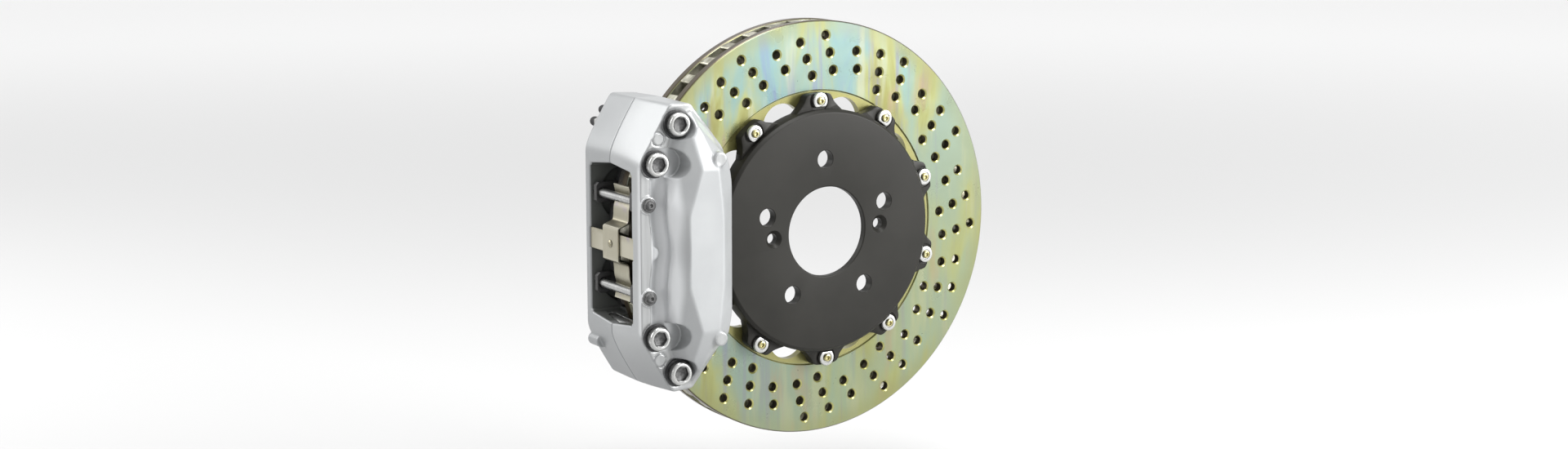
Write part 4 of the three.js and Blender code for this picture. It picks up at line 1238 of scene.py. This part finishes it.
def bridge_bolt(number):
    """A socket-head screw with a knurled head and a dished socket rim."""
    place = BOLTS[number - 1]
    low, high = box_mm(f"bridge_bolt_{number}")
    count, head = 120, 9.0
    top, under, tip = low.y, outboard_y(FLANGE + 2.6), high.y
    knurl = circle(1, count)
    ribs = np.where(np.arange(count) % 2 == 0, head, head - 0.35)
    rings = []

    def add(radius, y):
        rings.append(at_height(knurl * radius + place, y))

    def add_knurl(inset, y):
        rings.append(at_height(knurl * (ribs - inset)[:, None] + place, y))

    for radius, y in ((POINT, tip), (4.6, tip), (6.0, tip - 1.4), (6.0, under)):
        add(radius, y)
    add(head - 0.5, under)
    add(head - 0.35, under - 0.4)
    add_knurl(0, under - 0.8)
    add_knurl(0, top + 1.4)
    for inset, y in (
        (0.4, top + 1.2), (0.5, top + 0.7), (1.0, top + 0.2), (1.6, top),
        (2.6, top), (2.8, top + 0.25),
    ):
        add(head - inset, y)
    floor = top + 3.4
    for half, y in ((5.25, top + 0.6), (5.0, top + 0.9), (5.0, floor)):
        rings.append(at_height(hexagon(half, count, *place, turn=0.35), y))
    add(2.0, floor + 0.8)
    mesh = mesh_from("bridge_bolt", *loft(rings))
    paint_faces(mesh, lambda centres, normals: (
        (np.hypot(centres[:, 0] - place[0], centres[:, 2] - place[1]) < 5.72)
        & (centres[:, 1] > top + 0.7) & (centres[:, 1] < floor + 1)).astype(int))
    piece = add_object(f"bolt_{number}", mesh, "bright_steel", "socket_dark")
    fit(piece, "caliper", f"bridge_bolt_{number}")


def round_piece(name, node, body, slot, profile, radius=0.4, count=64, looped=False, extra=None):
    """A turned piece with soft corners, on the axis of its CAD node."""
    profile = rounded_profile(profile, radius, 4)
    mesh = turned(name, profile, centre_of(node), count, looped)
    return fit(add_object(name, mesh, slot, *(extra or ())), body, node)


def tube_profile(outer, inner, low, high):
    """A ring's cross-section, starting in the middle of its bore."""
    middle = (low + high) / 2
    return [
        (inner, middle), (inner, high), (outer, high),
        (outer, low), (inner, low), (inner, middle - SEAM),
    ]


def bolts():
    for number in range(1, 5):
        bridge_bolt(number)
        node = f"bolt_washer_{number}"
        low, high = box_mm(node)
        outer = (high.x - low.x) / 2
        round_piece(f"washer_{number}", node, "caliper", "washer_black",
                    tube_profile(outer, 6.4, low.y, high.y), 0.5, 72, looped=True)
    for number in (1, 2):
        node = f"crossover_seal_{number}"
        low, high = box_mm(node)
        round_piece(f"port_ring_{number}", node, "caliper", "rubber_black",
                    tube_profile((high.x - low.x) / 2, 2.8, low.y, high.y), 0.65, 48, looped=True)


# ------------------------------------------------------------ pistons, seals and boots
def piston_piece(side, end):
    node = f"piston_{side}_{end}"
    low, high = box_mm(node)
    radius = (high.z - low.z) / 2
    mouth, closed = (high.y, low.y) if side == "outboard" else (low.y, high.y)
    inward = 1 if closed > mouth else -1
    profile = [
        (POINT, closed), (radius - 1.2, closed), (radius, closed - inward * 1.2),
        (radius, mouth + inward * 5.6), (radius - 1, mouth + inward * 5.2),
        (radius - 1, mouth + inward * 3.6), (radius, mouth + inward * 3.2), (radius, mouth),
        (radius - 4, mouth), (radius - 4, closed - inward * 5), (POINT, closed - inward * 5),
    ]
    round_piece(f"cup_{side}_{end}", node, f"{side}_piston_{end}", "piston_steel", profile, 0.5, 96)


def soft_rings(side, end):
    """The square seal and the folded dust boot of one piston."""
    node = f"piston_seal_{side}_{end}"
    low, high = box_mm(node)
    outer = (high.z - low.z) / 2
    round_piece(f"seal_{side}_{end}", node, "caliper", "rubber_black",
                tube_profile(outer, outer - 2.4, low.y, high.y), 0.3, 72, looped=True)
    node = f"dust_boot_{side}_{end}"
    low, high = box_mm(node)
    outer, inner = (high.z - low.z) / 2, (high.z - low.z) / 2 - 2.9
    bottom, top = low.y, high.y
    folds = [
        (outer, bottom), (outer, top), (outer - 1.1, top), (outer - 1.1, bottom + 1.2),
        (inner + 0.9, bottom + 1.2), (inner + 0.9, top), (inner, top), (inner, bottom),
        (outer - 0.5, bottom),
    ]
    round_piece(f"boot_{side}_{end}", node, "caliper", "rubber_black", folds, 0.3, 72, looped=True)


def pistons():
    for side in ("outboard", "inboard"):
        for end in ("upper", "lower"):
            piston_piece(side, end)
            soft_rings(side, end)


# ------------------------------------------------------------ pads
PAD_INNER, PAD_OUTER, PAD_HALF = 113.0, 161.0, 55.0
TAB_HALF = 8.0
LINING_SLOT_HALF = 1.2


def arc(radius, half, sign, count=24):
    """Points of a circle round the disc's axis between two heights, on the -X side."""
    heights = np.linspace(-half, half, count) * sign + CALIPER_Z
    return [(-math.sqrt(radius ** 2 - height ** 2), height) for height in heights]


def rounded_corners(points, radius):
    """A closed outline with every corner rounded."""
    wrapped = [points[-1], *points, points[0]]
    made = rounded_profile(wrapped, radius, 5)
    return made[1:-1]


def pad_edge(half, inset, tabs):
    outer, inner = PAD_OUTER - inset, PAD_INNER + inset
    edge = arc(inner, half - inset - 6, 1)
    outer_arc = arc(outer, half - inset, -1)
    if not tabs:
        return edge + outer_arc
    reach = box_mm("pad_plate_outboard")[0].x + inset
    made = []
    placed = set()
    for x, z in outer_arc:
        centre = min((pin_z for _, pin_z in PINS), key=lambda value: abs(value - z))
        if abs(z - centre) > TAB_HALF - inset:
            made.append((x, z))
        elif centre not in placed:
            placed.add(centre)
            base = x + 1
            upper, lower = centre + TAB_HALF - inset, centre - TAB_HALF + inset
            made += [(base, upper), (reach + 2, upper), (reach, upper - 2),
                     (reach, lower + 2), (reach + 2, lower), (base, lower)]
    return edge + made


def pads():
    for side in ("outboard", "inboard"):
        node = f"pad_plate_{side}"
        low, high = box_mm(node)
        holes = [circle(3.8 + 0.4, 28, *pin) for pin in PINS]
        mesh = plate(node, [pad_edge(PAD_HALF, 0.5, True), *holes], low.y, high.y, 0.5, 2)
        shade(mesh)
        fit(add_object(f"back_plate_{side}", mesh, "pad_black"), f"{side}_pad", node)
        node = f"pad_lining_{side}"
        low, high = box_mm(node)
        mesh = plate(node, [pad_edge(PAD_HALF - 2, 1.2, False)], low.y, high.y, 1.2, 2)
        start, end = (low.y + 3, high.y + 1) if side == "outboard" else (low.y - 1, high.y - 3)
        below, above = CALIPER_Z - LINING_SLOT_HALF, CALIPER_Z + LINING_SLOT_HALF
        groove = [(-175, below), (-175, above), (-90, above), (-90, below)]
        slot = mesh_from("slot", *loft([at_height(groove, start), at_height(groove, end)]), smooth=False)
        mesh = carve(mesh, slot, "DIFFERENCE")
        shade(mesh)
        fit(add_object(f"lining_{side}", mesh, "lining_grey"), f"{side}_pad", node)


# ------------------------------------------------------------ pins, strap and clip
PIN_RADIUS = 3.4
CLIP_HALF = 0.6  # half the leaf spring's thickness
CLIP_BEVEL = 0.2


def pad_pins():
    """Two pins across the window, each with a collar. Their outer ends are dark."""
    for end in ("upper", "lower"):
        node = f"pad_pin_{end}"
        low, high = box_mm(node)
        collar, top = outboard_y(49), low.y
        profile = [
            (POINT, top + 1.6), (1.1, top + 1.2), (1.4, top), (2.5, top),
            (PIN_RADIUS, top + 1.0), (PIN_RADIUS, collar - 0.1),
            (4.7, collar), (5.3, collar + 0.5), (5.3, collar + 1.6), (PIN_RADIUS, collar + 1.7),
            (PIN_RADIUS, high.y - 1.4), (2.4, high.y), (POINT, high.y),
        ]
        pin = round_piece(f"pin_{end}", node, "caliper", "bright_steel", profile, 0.3, 48,
                          extra=("socket_dark",))
        paint_faces(pin.data, lambda centres, normals: (centres[:, 1] < collar + 2).astype(int))


def bar_between(name, x_low, x_high, y_low, y_high, z_half, bevel):
    """A flat bar along Y with soft edges and round corners."""
    corners = [(y_low, -z_half), (y_high, -z_half), (y_high, z_half), (y_low, z_half)]
    rings = []
    for x, inset in ((x_low, bevel), (x_low + bevel, 0), (x_high - bevel, 0), (x_high, bevel)):
        middle = (y_low + y_high) / 2
        shrunk = [
            (y - math.copysign(inset, y - middle), z - math.copysign(inset, z))
            for y, z in corners
        ]
        ring = rounded_corners(shrunk, 1.0)
        rings.append([(x, y, z + CALIPER_Z) for y, z in ring])
    return mesh_from(name, *loft(rings))


def strap_and_clip():
    low, high = box_mm("cross_strap")
    strap = bar_between("strap", low.x, high.x, low.y, high.y, (high.z - low.z) / 2, 0.3)
    fit(add_object("strap", strap, "champagne_plate"), "caliper", "cross_strap")
    clip_leaf()
    low, high = box_mm("clip_rivet")
    y, z = (low.y + high.y) / 2, (low.z + high.z) / 2
    profile = [
        (POINT, low.x), (1.3, low.x + 0.05), (2.5, low.x + 0.5), (3.1, low.x + 1.1),
        (2.0, low.x + 1.15), (2.0, high.x - 1.1), (3.1, high.x - 1.05), (2.6, high.x - 0.3), (POINT, high.x),
    ]
    mesh = cross_turned("clip_rivet_visual", rounded_profile(profile, 0.25, 3), y, z)
    fit(add_object("rivet", mesh, "champagne_plate"), "caliper", "clip_rivet")


def clip_leaf():
    """The leaf spring: its ends lie under the pins and its middle arches over the strap."""
    low, high = box_mm("spring_clip")
    pin_x, pin_z = PIN_PLACES[0]
    top = low.x + CLIP_HALF
    under = pin_x + PIN_RADIUS + 0.3 + CLIP_HALF
    upper = [
        (under - 1.5, pin_z + 9), (under, pin_z + 2), (under, pin_z - 3), (under - 1.6, pin_z - 9),
        (under - 2, 19), (under - 3.4, 15.6), (top + 2.6, 13.6), (top + 0.6, 12.4), (top, 10),
    ]
    path = upper + [(x, -z) for x, z in reversed(upper)]
    path = np.array(smooth_line(path, 5))
    slope = np.gradient(path, axis=0)
    across = np.stack([-slope[:, 1], slope[:, 0]], 1) / np.linalg.norm(slope, axis=1)[:, None]
    half, bevel = CLIP_HALF, CLIP_BEVEL
    section = [
        (low.y + bevel, -half), (high.y - bevel, -half), (high.y, -half + bevel),
        (high.y, half - bevel), (high.y - bevel, half), (low.y + bevel, half),
        (low.y, half - bevel), (low.y, -half + bevel),
    ]
    rings = []
    for (x, z), (side, up) in zip(path, across):
        rings.append([(x + side * out, y, z + up * out + CALIPER_Z) for y, out in section])
    mesh = mesh_from("clip", *loft(rings))
    fit(add_object("clip", mesh, "champagne_plate"), "caliper", "spring_clip")


# ------------------------------------------------------------ bleed screws and inlet
def bleed_screws():
    for end in ("inner", "outer"):
        node, body = f"bleed_screw_{end}", f"bleeder_{end}"
        place = centre_of(node)
        low, high = box_mm(node)
        base = JOINT_Y + INNER_FLANGE + 0.3
        count = 72
        rings = []
        for radius, y in ((POINT, low.y), (2.4, low.y), (3.3, low.y + 1.4), (3.3, base)):
            rings.append(at_height(circle(radius, count, *place), y))
        for half, y in ((4.3, base), (4.5, base + 0.3), (4.5, base + 3.7), (4.2, base + 4)):
            rings.append(at_height(hexagon(half, count, *place), y))
        for radius, y in (
            (2.6, base + 4), (2.2, base + 6), (2.2, base + 8), (2.6, base + 9),
            (2.6, high.y - 0.8), (2.0, high.y), (0.8, high.y), (0.8, high.y - 3), (POINT, high.y - 3),
        ):
            rings.append(at_height(circle(radius, count, *place), y))
        mesh = mesh_from(node, *loft(rings))
        fit(add_object(f"bleeder_{end}", mesh, "bright_steel"), body, node)
        node = f"bleed_cap_{end}"
        low, high = box_mm(node)
        profile = [
            (2.9, low.y), (4.2, low.y), (4.2, low.y + 1.8), (3.7, low.y + 2.2), (3.7, high.y - 2.6),
            (3.2, high.y - 0.9), (2.0, high.y - 0.1), (POINT, high.y), (POINT, high.y - 1.8),
            (2.9, high.y - 1.8), (2.9, low.y + 0.1),
        ]
        round_piece(f"cap_{end}", node, body, "rubber_black", profile, 0.35, 48, looped=True)


def inlet_plug():
    low, high = box_mm("inlet_plug")
    count, face = 72, JOINT_Y + 58.3
    rings = []
    for radius, y in ((POINT, low.y), (4.0, low.y), (5.0, low.y + 1.2), (5.0, face)):
        rings.append(at_height(circle(radius, count, *INLET), y))
    for half, y in ((6.6, face), (6.9, face + 0.3), (6.9, high.y - 0.7), (6.4, high.y)):
        rings.append(at_height(hexagon(half, count, *INLET), y))
    rings.append(at_height(circle(4.5, count, *INLET), high.y))
    rings.append(at_height(circle(4.2, count, *INLET), high.y - 0.3))
    mesh = mesh_from("inlet", *loft(rings))
    fit(add_object("plug", mesh, "bright_steel"), "caliper", "inlet_plug")


disc_ring()
disc_hat()
bobbins()
caliper_halves()
bolts()
pistons()
pads()
pad_pins()
strap_and_clip()
bleed_screws()
inlet_plug()


# ------------------------------------------------------------ studio and camera
def soft_light(name, place, target, width, height, power):
    light = bpy.data.lights.new(name, "AREA")
    light.shape = "RECTANGLE"
    light.size, light.size_y = width, height
    light.energy = power
    lamp = bpy.data.objects.new(name, light)
    bpy.context.scene.collection.objects.link(lamp)
    lamp.location = place
    lamp.rotation_euler = (Vector(target) - Vector(place)).to_track_quat("-Z", "Y").to_euler()


FLOOR_DROP = 60  # from the disc's lowest point
FLOOR_REACH = 9000


def studio():
    """White surroundings, a pale floor that brightens far away, and three soft lights."""
    world = bpy.data.worlds.new("studio")
    world.use_nodes = True
    world.node_tree.nodes["Background"].inputs["Color"].default_value = (1, 1, 1, 1)
    world.node_tree.nodes["Background"].inputs["Strength"].default_value = 0.92
    bpy.context.scene.world = world
    bpy.context.scene.view_settings.view_transform = "Standard"
    paint = Paint("floor_white", 0.6, 0.0)
    x, y, _ = paint.axes()
    away = paint.length(x, y)
    paint.feed(paint.ramp(paint.step(away, 900, 4500), [(0, 0.50), (1, 0.95)]), "Base Color")
    MATERIALS["floor_white"] = paint.material
    floor_z = cad_low.z / MM - FLOOR_DROP
    corners = [(-1, -1), (1, -1), (1, 1), (-1, 1)]
    points = [(x * FLOOR_REACH, y * FLOOR_REACH, floor_z) for x, y in corners]
    floor = add_object("floor", mesh_from("floor", points, [(0, 1, 2, 3)]), "floor_white")
    middle = (cad_low + cad_high) / 2
    soft_light("key", (1.5, -1.7, 0.7), middle, 1.2, 1.2, 80)
    soft_light("back_left", (-1.35, 1.1, 0.9), middle, 1.2, 1.2, 24)
    soft_light("top", (0.1, -0.6, 1.9), middle, 1.0, 0.8, 30)


def camera():
    data = bpy.data.cameras.new("camera")
    data.lens, data.sensor_width = 55.62, 36.0
    data.clip_end = 50
    view = bpy.data.objects.new("camera", data)
    bpy.context.scene.collection.objects.link(view)
    view.location = (-1.0268, -1.56795, 0.32744)
    view.rotation_euler = (math.radians(80.217), 0, math.radians(-32.32))
    bpy.context.scene.camera = view


studio()
camera()
